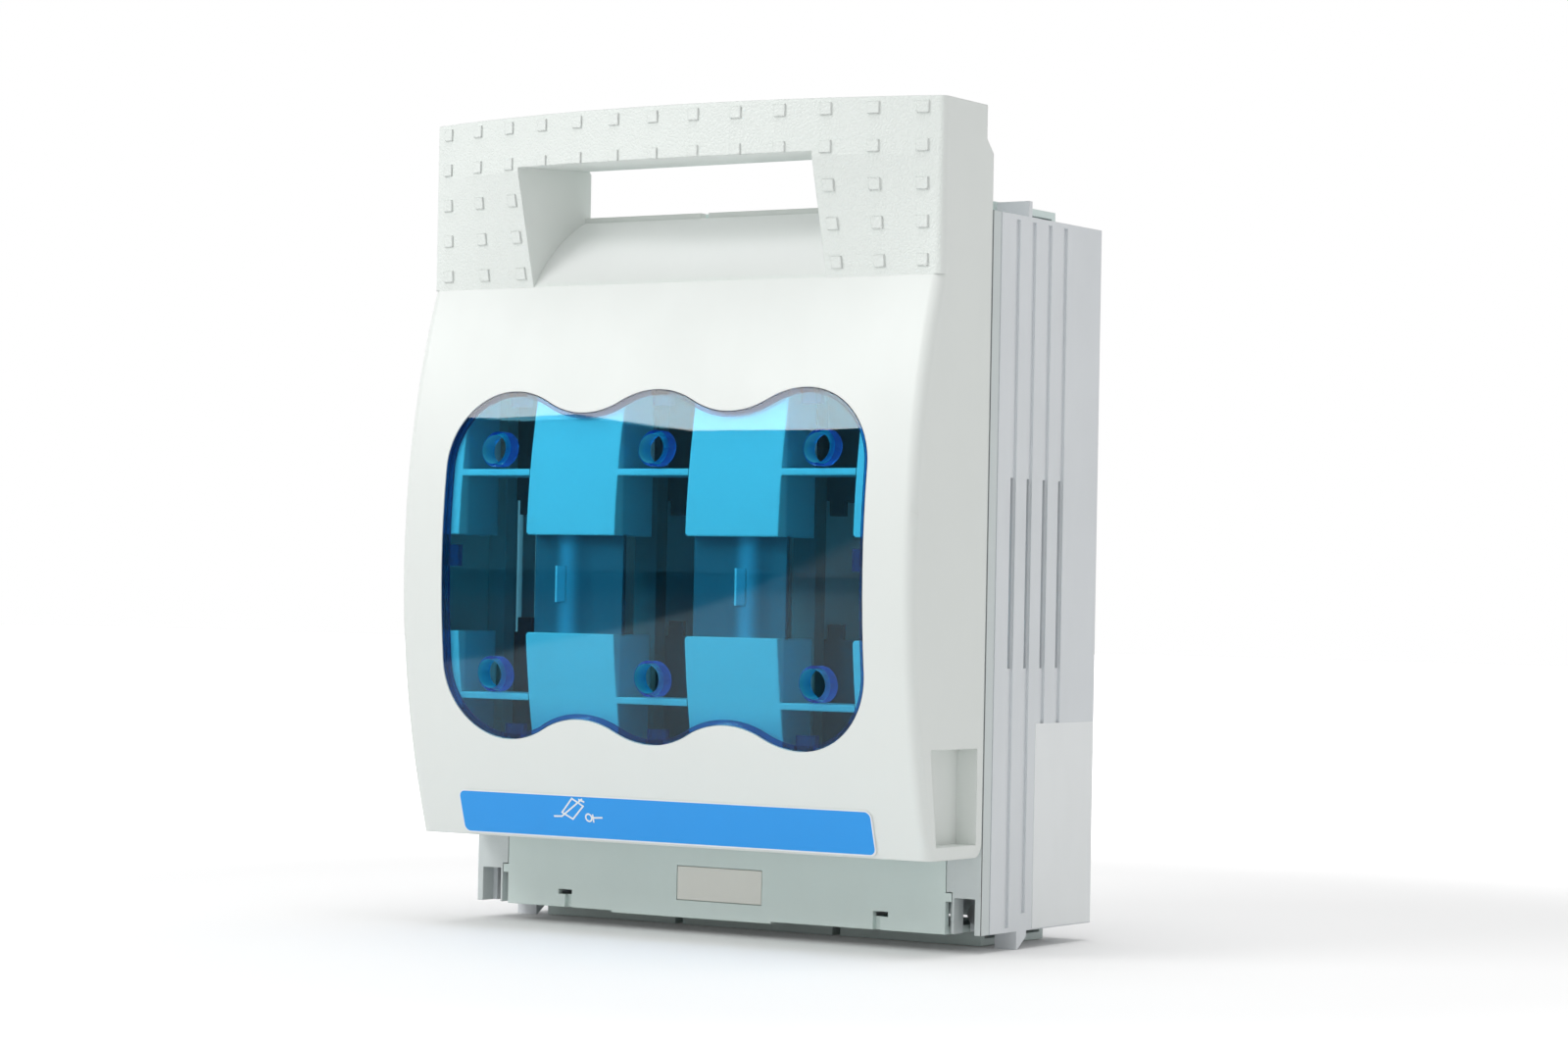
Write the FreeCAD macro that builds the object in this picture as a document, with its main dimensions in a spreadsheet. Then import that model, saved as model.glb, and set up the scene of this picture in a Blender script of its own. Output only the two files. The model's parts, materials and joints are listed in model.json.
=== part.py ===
import FreeCAD, Part
import math
import os
import re
import Sketcher

# Three-pole fuse-switch-disconnector, millimetres.
# X runs to the right, Y to the back with the mounting plane at Y = 0, Z up.
# Every piece is drawn with Z = 0 at the base's lower edge, then lowered by half the base's height,
# so that the origin is the centre of the four mounting holes.

doc = FreeCAD.newDocument("fuse_switch")
sheet = doc.addObject("Spreadsheet::Sheet", "sizes")
vector = FreeCAD.Vector

# Driving dimensions
DIMENSIONS = {
    # base
    "base_width": 184.0,
    "base_height": 212.6,
    "base_depth": 67.5,
    "side_wall": 3.6,
    "back_wall": 4.0,
    "back_rib_depth": 1.5,
    "back_rib_width": 5.0,
    "back_field_height": 30.0,
    "barrier_wall": 4.0,
    "side_room": 2.2,
    "groove_width": 2.3,
    "groove_depth": 0.8,
    "groove_pitch": 9.75,
    "groove_inset": 15.3,
    "groove_end": 1.5,
    "vent_length": 56.4,
    "vent_width": 3.0,
    "vent_forward": 0.6,
    "post_width": 7.0,
    "foot_width": 7.4,
    "upper_foot_width": 11.0,
    "upper_foot_height": 4.7,
    "upper_foot_thickness": 2.0,
    "foot_length": 6.0,
    "foot_height": 5.4,
    "foot_rear": 40.0,
    "post_front": 55.0,
    "back_field_inset": 7.0,
    # mounting holes
    "mount_spacing_z": 150.0,
    "mount_hole_radius": 3.5,
    "mount_boss_radius": 8.0,
    "mount_boss_height": 9.0,
    "tool_bore_radius": 6.5,
    # front frame
    "frame_thickness": 5.5,
    "rail_width": 11.7,
    "cover_zone": 23.2,
    "frame_strip": 8.2,
    "phase_opening_end": 39.5,
    "pocket_width": 7.0,
    "pocket_height": 10.6,
    "pocket_wall": 2.0,
    "seam_depth": 0.4,
    "seam_width": 0.6,
    # terminal covers
    "cover_clearance": 0.3,
    "cover_wall": 2.2,
    "cover_rear": 8.0,
    "cable_half": 20.0,
    "cable_edge": 3.0,
    "edge_tab_left": 40.0,
    "edge_tab_right": 19.0,
    "edge_tab_height": 0.6,
    "skirt_back": 46.0,
    "skirt_height": 5.1,
    "knock_out_slit": 2.8,
    "notch_width": 5.2,
    "notch_height": 5.2,
    "notch_bar": 3.0,
    "notch_depth": 1.4,
    "notch_shift": 0.4,
    "snap_tab_height": 2.6,
    "snap_tab_width": 2.0,
    "snap_tab_low": 9.4,
    "plate_width": 30.8,
    "plate_height": 10.2,
    "plate_low": 4.6,
    "plate_thickness": 0.8,
    "plate_recess": 0.9,
    "plate_clearance": 0.2,
    # lid
    "lid_gap": 0.3,
    "lid_low": 23.0,
    "lid_wall": 2.6,
    "lid_crown_depth": 110.7,
    "lid_crown_height": 107.0,
    "lid_radius": 264.0,
    "lid_edge_radius": 3.2,
    "grip_edge_radius": 2.4,
    "grip_low": 191.5,
    "bar_low": 226.2,
    "lid_top": 242.9,
    "grip_crown_depth": 110.9,
    "grip_radius": 297.0,
    "grip_leg": 39.0,
    "opening_rise": 4.0,
    "scoop_radius": 60.0,
    "scoop_rear_height": 213.6,
    "lip_height": 1.6,
    "lip_notch_x": -8.0,
    "lip_notch_width": 2.8,
    "heel_low": 229.0,
    "heel_high": 233.0,
    "heel_depth": 4.0,
    "square_size": 3.5,
    "square_height": 0.5,
    "square_side": 6.2,
    "square_pitch_z": 11.0,
    "square_top": 239.7,
    "recess_low": 26.8,
    "recess_high": 54.8,
    "recess_rear": 3.4,
    "recess_depth": 6.8,
    "recess_lip_low": 4.5,
    "recess_lip_high": 7.7,
    # window
    "window_side": 16.2,
    "window_top": 159.0,
    "window_bottom": 53.2,
    "corner_radius": 23.2,
    "lobe_radius": 27.2,
    "window_clearance": 0.25,
    "window_thickness": 2.0,
    "window_skirt": 2.8,
    "window_skirt_wall": 1.5,
    "tube_radius": 5.4,
    "tube_bore": 4.4,
    "tube_length": 6.0,
    "tube_high": 141.3,
    "tube_low": 73.0,
    "clip_width": 6.6,
    "clip_inward": 4.8,
    "clip_side_height": 108.9,
    "clip_reach": 1.2,
    "clip_thickness": 2.0,
    # fuse carrier
    "carrier_gap": 0.4,
    "carrier_side": 9.8,
    "carrier_low": 46.0,
    "carrier_high": 166.0,
    "carrier_depth": 22.7,
    "carrier_wall": 2.0,
    "fuse_pocket": 25.6,
    "middle_low": 85.9,
    "middle_high": 115.4,
    "rib_low": 66.3,
    "rib_high": 134.3,
    "rib_thickness": 2.0,
    "spine_width": 3.2,
    "spine_outward": 3.4,
    "spine_set": 3.6,
    "spine_bulge": 2.4,
    "spine_bulge_half": 5.5,
    "spine_bulge_set": 3.2,
    "flange_reach": 10.0,
    "flange_thickness": 3.0,
    "lid_boss_radius": 4.0,
    "lid_boss_side": 24.0,
    "carrier_screw_radius": 1.5,
    "carrier_screw_head": 3.0,
    "carrier_screw_head_height": 2.4,
    "carrier_screw_length": 7.0,
    # hinge
    "hinge_inset": 4.2,
    "hinge_side": 22.0,
    "lug_width": 7.0,
    "lug_radius": 3.6,
    "hinge_side_gap": 0.4,
    "ear_width": 4.0,
    "ear_length": 7.0,
    "pin_half": 8.0,
    "pin_radius": 1.6,
    "pin_clearance": 0.05,
    # label band
    "label_side": 17.4,
    "label_low": 23.6,
    "label_high": 37.0,
    "label_thickness": 0.4,
    "label_corner": 2.4,
    # contacts
    "jaw_centre": 52.0,
    "jaw_height": 22.0,
    "jaw_gap": 5.6,
    "jaw_thickness": 2.5,
    "jaw_front": 54.0,
    "jaw_flare": 1.8,
    "bar_width": 25.0,
    "bar_thickness": 4.0,
    "bar_end": 7.0,
    "pedestal_height": 5.0,
    "spring_thickness": 1.2,
    "spring_height": 10.0,
    "spring_front": 44.0,
    "spring_depth": 22.0,
    "bolt_height": 17.0,
    "bolt_radius": 4.95,
    "thread_clearance": 0.05,
    "bolt_clearance": 0.4,
    "bolt_head_flats": 16.0,
    "bolt_head_height": 6.4,
    "bolt_length": 10.4,
    "washer_radius": 10.0,
    "washer_thickness": 2.0,
    "nut_height": 4.6,
    "contact_screw_radius": 2.5,
    "contact_screw_head": 4.5,
    "contact_screw_head_height": 3.0,
    "contact_screw_height": 33.0,
    "screw_clearance": 0.2,
    "screw_slot": 1.0,
    "corner_screw_radius": 1.75,
    "corner_screw_head": 3.2,
    "corner_screw_head_height": 2.4,
    "corner_screw_length": 12.0,
    # contact covers
    "contact_cover_front": 60.5,
    "contact_cover_rear": 24.0,
    "contact_cover_inner": 30.0,
    "contact_cover_outer": 85.4,
    "contact_cover_wall": 2.0,
    "blade_slot_width": 9.0,
    "blade_slot_end": 3.0,
    "nib_width": 5.4,
    "nib_height": 4.6,
    "nib_depth": 1.6,
    # arc plates
    "arc_plate_thickness": 1.0,
    "arc_plate_pitch": 3.4,
    "arc_plate_count": 5.0,
    "arc_plate_depth": 20.0,
    "arc_plate_low": 68.0,
    # side label
    "side_label_width": 36.4,
    "side_label_height": 61.2,
    "side_label_thickness": 0.2,
    "side_label_inset": 0.4,
}

# Sizes that follow from the driving ones
DERIVED = {
    "half_width": "base_width / 2",
    "half_height": "base_height / 2",
    "pole_pitch": "(base_width - 2 * side_wall - side_room) / 3",
    "phase_opening": "pole_pitch - frame_strip",
    "notch_offset": "pole_pitch - notch_shift",
    "opening_half": "half_width - grip_leg",
    "window_half": "half_width - window_side",
    "lobe_pitch": "window_half - corner_radius",
    "carrier_half": "half_width - carrier_side",
    "carrier_back": "lid_crown_depth - carrier_depth",
    "spine_x": "pole_pitch / 2 + spine_outward",
    "label_half": "half_width - label_side",
    "hinge_x": "half_width - hinge_side",
    "lid_boss_x": "half_width - lid_boss_side",
    "square_pitch_x": "(half_width - square_side) / 6",
    "lid_rear": "base_depth + lid_gap",
    "waist_depth": "lid_crown_depth - lid_radius + sqrt(lid_radius ^ 2 - (grip_low - lid_crown_height) ^ 2)",
    "hinge_depth": "lid_rear + hinge_inset",
    "hinge_height": "lid_low + hinge_inset",
    "phase_chamber": "pole_pitch - barrier_wall",
    "pedestal_depth": "back_wall + pedestal_height",
    "bar_front": "back_wall + pedestal_height + bar_thickness",
    "window_centre": "(window_top + window_bottom) / 2",
    "wave_cosine": "sqrt(1 - (lobe_pitch / (4 * lobe_radius)) ^ 2)",
}

for row, (alias, number) in enumerate(DIMENSIONS.items(), 1):
    sheet.set(f"A{row}", alias)
    sheet.set(f"B{row}", str(number))
    sheet.setAlias(f"B{row}", alias)
for row, (alias, formula) in enumerate(DERIVED.items(), len(DIMENSIONS) + 1):
    sheet.set(f"A{row}", alias)
    sheet.set(f"B{row}", "=" + formula)
    sheet.setAlias(f"B{row}", alias)
doc.recompute()


NAMES = set(DIMENSIONS) | set(DERIVED)
MARGIN = "2"


def bound(formula):
    """A formula in the sheet's aliases, written for use outside the sheet."""
    def with_sheet(word):
        return "sizes." + word.group() if word.group() in NAMES else word.group()
    return re.sub(r"[a-z]\w*", with_sheet, str(formula))


def size(formula):
    """The value of a formula in millimetres."""
    return float(sheet.evalExpression(bound(formula)))


def box(name, left, right, rear, front, low, high):
    """A block. Rear and front are depths in front of the mounting plane."""
    solid = doc.addObject("Part::Box", name)
    solid.setExpression("Length", bound(f"({right}) - ({left})"))
    solid.setExpression("Width", bound(f"({front}) - ({rear})"))
    solid.setExpression("Height", bound(f"({high}) - ({low})"))
    solid.setExpression("Placement.Base.x", bound(left))
    solid.setExpression("Placement.Base.y", bound(f"-({front})"))
    solid.setExpression("Placement.Base.z", bound(low))
    return solid


def rod(name, x, z, radius, rear, front):
    """A round bar along Y, from a rear depth to a front depth."""
    solid = doc.addObject("Part::Cylinder", name)
    solid.Placement = FreeCAD.Placement(vector(), FreeCAD.Rotation(vector(1, 0, 0), 90))
    solid.setExpression("Radius", bound(radius))
    solid.setExpression("Height", bound(f"({front}) - ({rear})"))
    solid.setExpression("Placement.Base.x", bound(x))
    solid.setExpression("Placement.Base.y", bound(f"-({rear})"))
    solid.setExpression("Placement.Base.z", bound(z))
    return solid


def axle(name, depth, z, radius, left, right):
    """A round bar along X."""
    solid = doc.addObject("Part::Cylinder", name)
    solid.Placement = FreeCAD.Placement(vector(), FreeCAD.Rotation(vector(0, 1, 0), 90))
    solid.setExpression("Radius", bound(radius))
    solid.setExpression("Height", bound(f"({right}) - ({left})"))
    solid.setExpression("Placement.Base.x", bound(left))
    solid.setExpression("Placement.Base.y", bound(f"-({depth})"))
    solid.setExpression("Placement.Base.z", bound(z))
    return solid


def hexagon(name, x, z, across_flats, rear, front):
    """A hexagonal bar along Y."""
    solid = doc.addObject("Part::Prism", name)
    solid.Polygon = 6
    solid.Placement = FreeCAD.Placement(vector(), FreeCAD.Rotation(vector(1, 0, 0), 90))
    solid.setExpression("Circumradius", bound(f"({across_flats}) / sqrt(3)"))
    solid.setExpression("Height", bound(f"({front}) - ({rear})"))
    solid.setExpression("Placement.Base.x", bound(x))
    solid.setExpression("Placement.Base.y", bound(f"-({rear})"))
    solid.setExpression("Placement.Base.z", bound(z))
    return solid


def fuse(name, *pieces):
    if len(pieces) == 1:
        return pieces[0]
    joined = doc.addObject("Part::MultiFuse", name)
    joined.Shapes = list(pieces)
    return joined


def common(name, first, second):
    shared = doc.addObject("Part::Common", name)
    shared.Base = first
    shared.Tool = second
    return shared


def cut(name, base, *tools):
    remainder = doc.addObject("Part::Cut", name)
    remainder.Base = base
    remainder.Tool = fuse(name + "_tools", *tools)
    return remainder


def new_body(name):
    return doc.addObject("PartDesign::Body", name)


def outline(body, name, plane, offset, corners, aside="0"):
    """A closed sketch on one of the body's own planes, moved along its normal and aside along its y axis.

    A corner is (x, y), or (x, y, radius, side) where the edge after it is an arc that
    bulges to the left (side 1) or to the right (side -1) of the way round.
    """
    sketch = body.newObject("Sketcher::SketchObject", name)
    planes = {feature.Role: feature for feature in body.Origin.OriginFeatures}
    sketch.AttachmentSupport = [(planes[plane], "")]
    sketch.MapMode = "FlatFace"
    sketch.setExpression("AttachmentOffset.Base.y", bound(aside))
    sketch.setExpression("AttachmentOffset.Base.z", bound(offset))
    places = [vector(size(corner[0]), size(corner[1]), 0) for corner in corners]
    count = len(corners)
    starts, ends = [], []
    for index, corner in enumerate(corners):
        start, end = places[index], places[(index + 1) % count]
        forward = True
        if len(corner) == 2:
            sketch.addGeometry(Part.LineSegment(start, end), False)
        else:
            chord = end - start
            radius = size(corner[2])
            left = vector(-chord.y, chord.x, 0).normalize()
            centre = (start + end) * 0.5 - left * corner[3] * (radius ** 2 - (chord.Length / 2) ** 2) ** 0.5
            angles = [math.atan2(point.y - centre.y, point.x - centre.x) for point in (start, end)]
            forward = corner[3] < 0
            first, last = angles if forward else reversed(angles)
            circle = Part.Circle(centre, vector(0, 0, 1), radius)
            sketch.addGeometry(Part.ArcOfCircle(circle, first, last), False)
        starts.append(1 if forward else 2)
        ends.append(2 if forward else 1)
    for index in range(count):
        before = (index - 1) % count
        sketch.addConstraint(Sketcher.Constraint("Coincident", before, ends[before], index, starts[index]))
    for index, corner in enumerate(corners):
        for kind, axis, formula in (("DistanceX", -2, corner[0]), ("DistanceY", -1, corner[1])):
            number = size(formula)
            if abs(number) < 1e-9:
                sketch.addConstraint(Sketcher.Constraint("PointOnObject", index, starts[index], axis))
                continue
            place = sketch.addConstraint(Sketcher.Constraint(kind, -1, 1, index, starts[index], number))
            sketch.setExpression(f"Constraints[{place}]", bound(formula))
        if len(corner) > 2:
            place = sketch.addConstraint(Sketcher.Constraint("Radius", index, size(corner[2])))
            sketch.setExpression(f"Constraints[{place}]", bound(corner[2]))
    return sketch


def pad(body, sketch, length, symmetric=False):
    feature = body.newObject("PartDesign::Pad", sketch.Name + "_pad")
    feature.Profile = sketch
    feature.setExpression("Length", bound(length))
    if symmetric:
        feature.SideType = "Symmetric"
    return feature


def side_prism(name, corners, left, right):
    """A side view in depth and height, carried along X."""
    body = new_body(name)
    turned = [(f"-({corner[0]})",) + tuple(corner[1:]) for corner in corners]
    sketch = outline(body, name + "_outline", "YZ_Plane", left, turned)
    pad(body, sketch, f"({right}) - ({left})")
    return body


def front_prism(name, corners, rear, front):
    """A front view in X and Z, carried forwards from a rear depth to a front depth."""
    body = new_body(name)
    sketch = outline(body, name + "_outline", "XZ_Plane", rear, corners)
    pad(body, sketch, f"({front}) - ({rear})")
    return body


def plan_prism(name, corners, low, high):
    """A view from above in X and depth, carried upwards."""
    body = new_body(name)
    turned = [(corner[0], f"-({corner[1]})") + tuple(corner[2:]) for corner in corners]
    sketch = outline(body, name + "_outline", "XY_Plane", low, turned)
    pad(body, sketch, f"({high}) - ({low})")
    return body


FINISHED = []


def finish(piece, label):
    """Name a finished piece and lower it into the frame of the mounting holes."""
    piece.Label = label
    height = dict(piece.ExpressionEngine).get(".Placement.Base.z", "0")
    piece.setExpression("Placement.Base.z", f"({height}) - sizes.half_height")
    FINISHED.append(piece)


# Places that repeat
POLES = {"left": "-pole_pitch", "middle": "0", "right": "pole_pitch"}
SIDES = {"left": -1, "right": 1}


def mirrored(side, inner, outer):
    """The left and right limits of something that lies between two distances from the middle."""
    return (inner, outer) if side > 0 else (f"-({outer})", f"-({inner})")


def from_end(end, near, far):
    """Low and high limits of something that lies between two distances from the lower or upper end."""
    if end == "lower":
        return near, far
    return f"base_height - ({far})", f"base_height - ({near})"


def at_end(end, distance):
    return distance if end == "lower" else f"base_height - ({distance})"


ENDS = ("lower", "upper")


# Base housing: a deep tray with a chamber for each pole
def base_housing():
    shell_front = "base_depth - frame_thickness"
    block = box("base_block", "-half_width", "half_width", 0, shell_front, 0, "base_height")
    inner_edge = "half_width - side_wall"
    chambers = [box("chamber_middle", "-phase_chamber / 2", "phase_chamber / 2", "back_wall",
                    f"{shell_front} + {MARGIN}", f"-{MARGIN}", f"base_height + {MARGIN}")]
    grooves = []
    for side_name, side in SIDES.items():
        left, right = mirrored(side, "phase_chamber / 2 + barrier_wall", inner_edge)
        chambers.append(box(f"chamber_{side_name}", left, right, "back_wall",
                            f"{shell_front} + {MARGIN}", f"-{MARGIN}", f"base_height + {MARGIN}"))
        for number in range(4):
            centre = f"base_depth - groove_inset - groove_pitch * {number}"
            rear, front = f"{centre} - groove_width / 2", f"{centre} + groove_width / 2"
            left, right = mirrored(side, "half_width - groove_depth", f"half_width + {MARGIN}")
            grooves.append(box(f"groove_{side_name}_{number}", left, right, rear, front,
                               "groove_end", "base_height - groove_end"))
            left, right = mirrored(side, f"{inner_edge} - {MARGIN}", f"half_width + {MARGIN}")
            grooves.append(box(f"vent_{side_name}_{number}", left, right,
                               f"{centre} + vent_forward - vent_width / 2", f"{centre} + vent_forward + vent_width / 2",
                               "half_height - vent_length / 2", "half_height + vent_length / 2"))
    walls = cut("base_walls", block, *chambers, *grooves)
    # pedestals of the contacts, corner posts, feet and the bosses of the mounting holes
    added = []
    openings = []
    for end in ENDS:
        for pole, centre in POLES.items():
            low, high = from_end(end, "bar_end", "jaw_centre + jaw_height / 2")
            added.append(box(f"pedestal_{end}_{pole}", f"{centre} - bar_width / 2", f"{centre} + bar_width / 2",
                             "back_wall / 2", "pedestal_depth", low, high))
            openings.append(hexagon(f"nut_pocket_{end}_{pole}", centre, at_end(end, "bolt_height"),
                                    "bolt_head_flats + bolt_clearance", "pedestal_depth - nut_height",
                                    f"pedestal_depth + {MARGIN}"))
            openings.append(rod(f"screw_seat_{end}_{pole}", centre, at_end(end, "contact_screw_height"),
                                "contact_screw_radius", "back_wall / 2", f"pedestal_depth + {MARGIN}"))
        for side_name, side in SIDES.items():
            left, right = mirrored(side, f"{inner_edge} - post_width", f"{inner_edge} + side_wall / 2")
            low, high = from_end(end, 0, "pocket_height")
            added.append(box(f"post_{end}_{side_name}", left, right, "back_wall / 2",
                             "post_front", low, high))
            openings.append(rod(f"post_bore_{end}_{side_name}", f"{side} * (half_width - side_wall - post_width / 2)",
                                at_end(end, "pocket_height / 2"), "corner_screw_radius",
                                "post_front - corner_screw_length", f"post_front + {MARGIN}"))
            root = at_end(end, "pocket_height / 2")
            if end == "lower":
                left, right = mirrored(side, "half_width - foot_width", "half_width")
                tip = at_end(end, "-foot_height")
                foot = [("foot_rear", root), ("foot_rear", at_end(end, "-foot_height / 3")),
                        ("foot_rear + foot_height", tip), ("foot_rear + foot_length", tip),
                        ("foot_rear + foot_length", root)]
            else:
                left, right = mirrored(side, "half_width - upper_foot_width", "half_width")
                tip = at_end(end, "-upper_foot_height")
                foot = [("foot_rear + foot_length - upper_foot_thickness", root),
                        ("foot_rear + foot_length - upper_foot_thickness", tip),
                        ("foot_rear + foot_length", tip), ("foot_rear + foot_length", root)]
            added.append(side_prism(f"foot_{end}_{side_name}", foot, left, right))
            x = f"{side} * pole_pitch / 2"
            z = f"half_height + {1 if end == 'upper' else -1} * mount_spacing_z / 2"
            added.append(rod(f"mount_boss_{end}_{side_name}", x, z, "mount_boss_radius",
                             "back_wall / 2", "mount_boss_height"))
            openings.append(rod(f"mount_hole_{end}_{side_name}", x, z, "mount_hole_radius",
                                f"-{MARGIN}", f"mount_boss_height + {MARGIN}"))
            openings.append(rod(f"tool_bore_{end}_{side_name}", x, z, "tool_bore_radius",
                                "mount_boss_height", f"base_depth + {MARGIN}"))
    # fields between the ribs of the back
    for column, (pole, centre) in enumerate(POLES.items()):
        for row in range(3):
            z = f"half_height + {row - 1} * (back_field_height + back_rib_width)"
            openings.append(box(f"back_field_{pole}_{row}", f"{centre} - pole_pitch / 2 + back_field_inset",
                                f"{centre} + pole_pitch / 2 - back_field_inset", f"-{MARGIN}", "back_rib_depth",
                                f"{z} - back_field_height / 2", f"{z} + back_field_height / 2"))
    filled = fuse("base_filled", walls, *added)
    finish(cut("base", filled, *openings), "base_housing")


# Front frame: the plate behind the lid, with the rails and the hinge lugs
def front_frame():
    rear = "base_depth - frame_thickness"
    plate = box("frame_block", "-half_width", "half_width", rear, "base_depth", 0, "base_height")
    openings = []
    rail = "half_width - rail_width"
    for end in ENDS:
        low, high = from_end(end, f"-{MARGIN}", "cover_zone")
        openings.append(box(f"cover_zone_{end}", f"-({rail})", rail, f"{rear} - {MARGIN}",
                            f"base_depth + {MARGIN}", low, high))
        for side_name, side in SIDES.items():
            left, right = mirrored(side, "half_width - pocket_wall - pocket_width", "half_width - pocket_wall")
            low, high = from_end(end, f"-{MARGIN}", "pocket_height")
            openings.append(box(f"pocket_{end}_{side_name}", left, right, f"{rear} - {MARGIN}",
                                f"base_depth + {MARGIN}", low, high))
            left, right = mirrored(side, f"{rail} - {MARGIN}", f"{rail} + snap_tab_width")
            low, high = from_end(end, f"-{MARGIN}", "snap_tab_low + snap_tab_height + cover_clearance")
            openings.append(box(f"snap_groove_{end}_{side_name}", left, right,
                                "base_depth - cover_wall - cover_clearance", f"base_depth + {MARGIN}", low, high))
            x = f"{side} * pole_pitch / 2"
            z = f"half_height + {1 if end == 'upper' else -1} * mount_spacing_z / 2"
            openings.append(rod(f"frame_bore_{end}_{side_name}", x, z, "tool_bore_radius",
                                f"{rear} - {MARGIN}", f"base_depth + {MARGIN}"))
    for pole, centre in POLES.items():
        openings.append(box(f"phase_opening_{pole}", f"{centre} - phase_opening / 2", f"{centre} + phase_opening / 2",
                            f"{rear} - {MARGIN}", f"base_depth + {MARGIN}",
                            "phase_opening_end", "base_height - phase_opening_end"))
    for side_name, side in SIDES.items():
        left, right = mirrored(side, "half_width - seam_depth", f"half_width + {MARGIN}")
        openings.append(box(f"seam_{side_name}", left, right, f"{rear} - {MARGIN}", f"{rear} + seam_width",
                            f"-{MARGIN}", f"base_height + {MARGIN}"))
    opened = cut("frame_opened", plate, *openings)
    lugs = []
    bores = []
    for side_name, side in SIDES.items():
        left, right = mirrored(side, "hinge_x - lug_width / 2", "hinge_x + lug_width / 2")
        lugs.append(box(f"lug_{side_name}", left, right, "base_depth - seam_depth", "hinge_depth",
                        "hinge_height - lug_radius", "hinge_height + lug_radius"))
        lugs.append(axle(f"lug_end_{side_name}", "hinge_depth", "hinge_height", "lug_radius", left, right))
        bores.append(axle(f"lug_bore_{side_name}", "hinge_depth", "hinge_height", "pin_radius + pin_clearance",
                          f"{left} - {MARGIN}", f"{right} + {MARGIN}"))
    finish(cut("frame", fuse("frame_with_lugs", opened, *lugs), *bores), "front_frame")


# Terminal covers: front plate, step, skirt and floor in one stepped section
def terminal_cover(end):
    half = "half_width - rail_width - cover_clearance"
    section = [
        ("base_depth", "cover_zone - cover_clearance"),
        ("base_depth", "-cover_clearance"),
        ("skirt_back", "-cover_clearance"),
        ("skirt_back", "-skirt_height"),
        ("cover_rear", "-skirt_height"),
        ("cover_rear", "-cover_clearance"),
        ("cover_rear + cover_wall", "-cover_clearance"),
        ("cover_rear + cover_wall", "cover_wall - skirt_height"),
        ("skirt_back - cover_wall", "cover_wall - skirt_height"),
        ("skirt_back - cover_wall", "cover_wall - cover_clearance"),
        ("base_depth - cover_wall", "cover_wall - cover_clearance"),
        ("base_depth - cover_wall", "cover_zone - cover_clearance"),
    ]
    corners = [(depth, at_end(end, height)) for depth, height in section]
    shell = side_prism(f"{end}_cover_section", corners, f"-({half})", half)
    tabs = []
    openings = []
    for side_name, side in SIDES.items():
        left, right = mirrored(side, f"{half} - {MARGIN}", f"{half} + snap_tab_width")
        low, high = from_end(end, "snap_tab_low", "snap_tab_low + snap_tab_height")
        tabs.append(box(f"{end}_tab_{side_name}", left, right, "base_depth - cover_wall", "base_depth", low, high))
        # a slit below each barrier, a wider notch where the barrier stands, and an L-shaped screwdriver notch
        left, right = mirrored(side, "pole_pitch / 2 - knock_out_slit / 2", "pole_pitch / 2 + knock_out_slit / 2")
        low, high = from_end(end, f"-skirt_height - {MARGIN}", "-cover_clearance")
        openings.append(box(f"{end}_slit_{side_name}", left, right, "cover_rear + cover_wall * 2",
                            f"skirt_back + {MARGIN}", low, high))
        left, right = mirrored(side, "pole_pitch / 2 - barrier_wall / 2 - cover_clearance",
                               "pole_pitch / 2 + barrier_wall / 2 + cover_clearance")
        low, high = from_end(end, "-cover_clearance", f"cover_wall + {MARGIN}")
        openings.append(box(f"{end}_barrier_notch_{side_name}", left, right, f"skirt_back - cover_wall - {MARGIN}",
                            "base_depth - cover_wall", low, high))
        x = f"{side} * notch_offset"
        low, high = from_end(end, "notch_height - notch_bar / 2", "notch_height")
        openings.append(box(f"{end}_notch_head_{side_name}", f"{x} - notch_width / 2", f"{x} + notch_width / 2",
                            "base_depth - cover_wall * 2", f"base_depth + {MARGIN}", low, high))
        low, high = from_end(end, f"-edge_tab_height - {MARGIN}", "notch_height")
        left, right = mirrored(side, "notch_offset - notch_width / 2", "notch_offset")
        openings.append(box(f"{end}_notch_leg_{side_name}", left, right,
                            "base_depth - notch_depth", f"base_depth + {MARGIN}", low, high))
    for pole, centre in POLES.items():
        low, high = from_end(end, f"-skirt_height - {MARGIN}", 0)
        openings.append(box(f"{end}_cable_{pole}", f"{centre} - cable_half", f"{centre} + cable_half",
                            "cover_rear + cover_wall + cable_edge", "skirt_back - cover_wall - cable_edge", low, high))
    # the front's edge reaches a little further over part of its length
    low, high = from_end(end, "-cover_clearance - edge_tab_height", "cover_wall / 2")
    tabs.append(box(f"{end}_edge_tab", "-edge_tab_left", "edge_tab_right", "base_depth - cover_wall", "base_depth",
                    low, high))
    if end == "lower":
        openings.append(box("plate_recess_cut", "-plate_width / 2 - plate_clearance",
                            "plate_width / 2 + plate_clearance", "base_depth - plate_recess",
                            f"base_depth + {MARGIN}", "plate_low - plate_clearance",
                            "plate_low + plate_height + plate_clearance"))
    finish(cut(f"{end}_cover", fuse(f"{end}_cover_body", shell, *tabs), *openings), f"{end}_terminal_cover")


def name_plate():
    finish(box("plate", "-plate_width / 2", "plate_width / 2", "base_depth - plate_recess",
               "base_depth - plate_recess + plate_thickness", "plate_low", "plate_low + plate_height"), "name_plate")


def side_label():
    finish(box("label_sheet", "half_width", "half_width + side_label_thickness", "side_label_inset",
               "side_label_inset + side_label_width", "side_label_inset", "side_label_inset + side_label_height"),
           "side_label")


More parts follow.
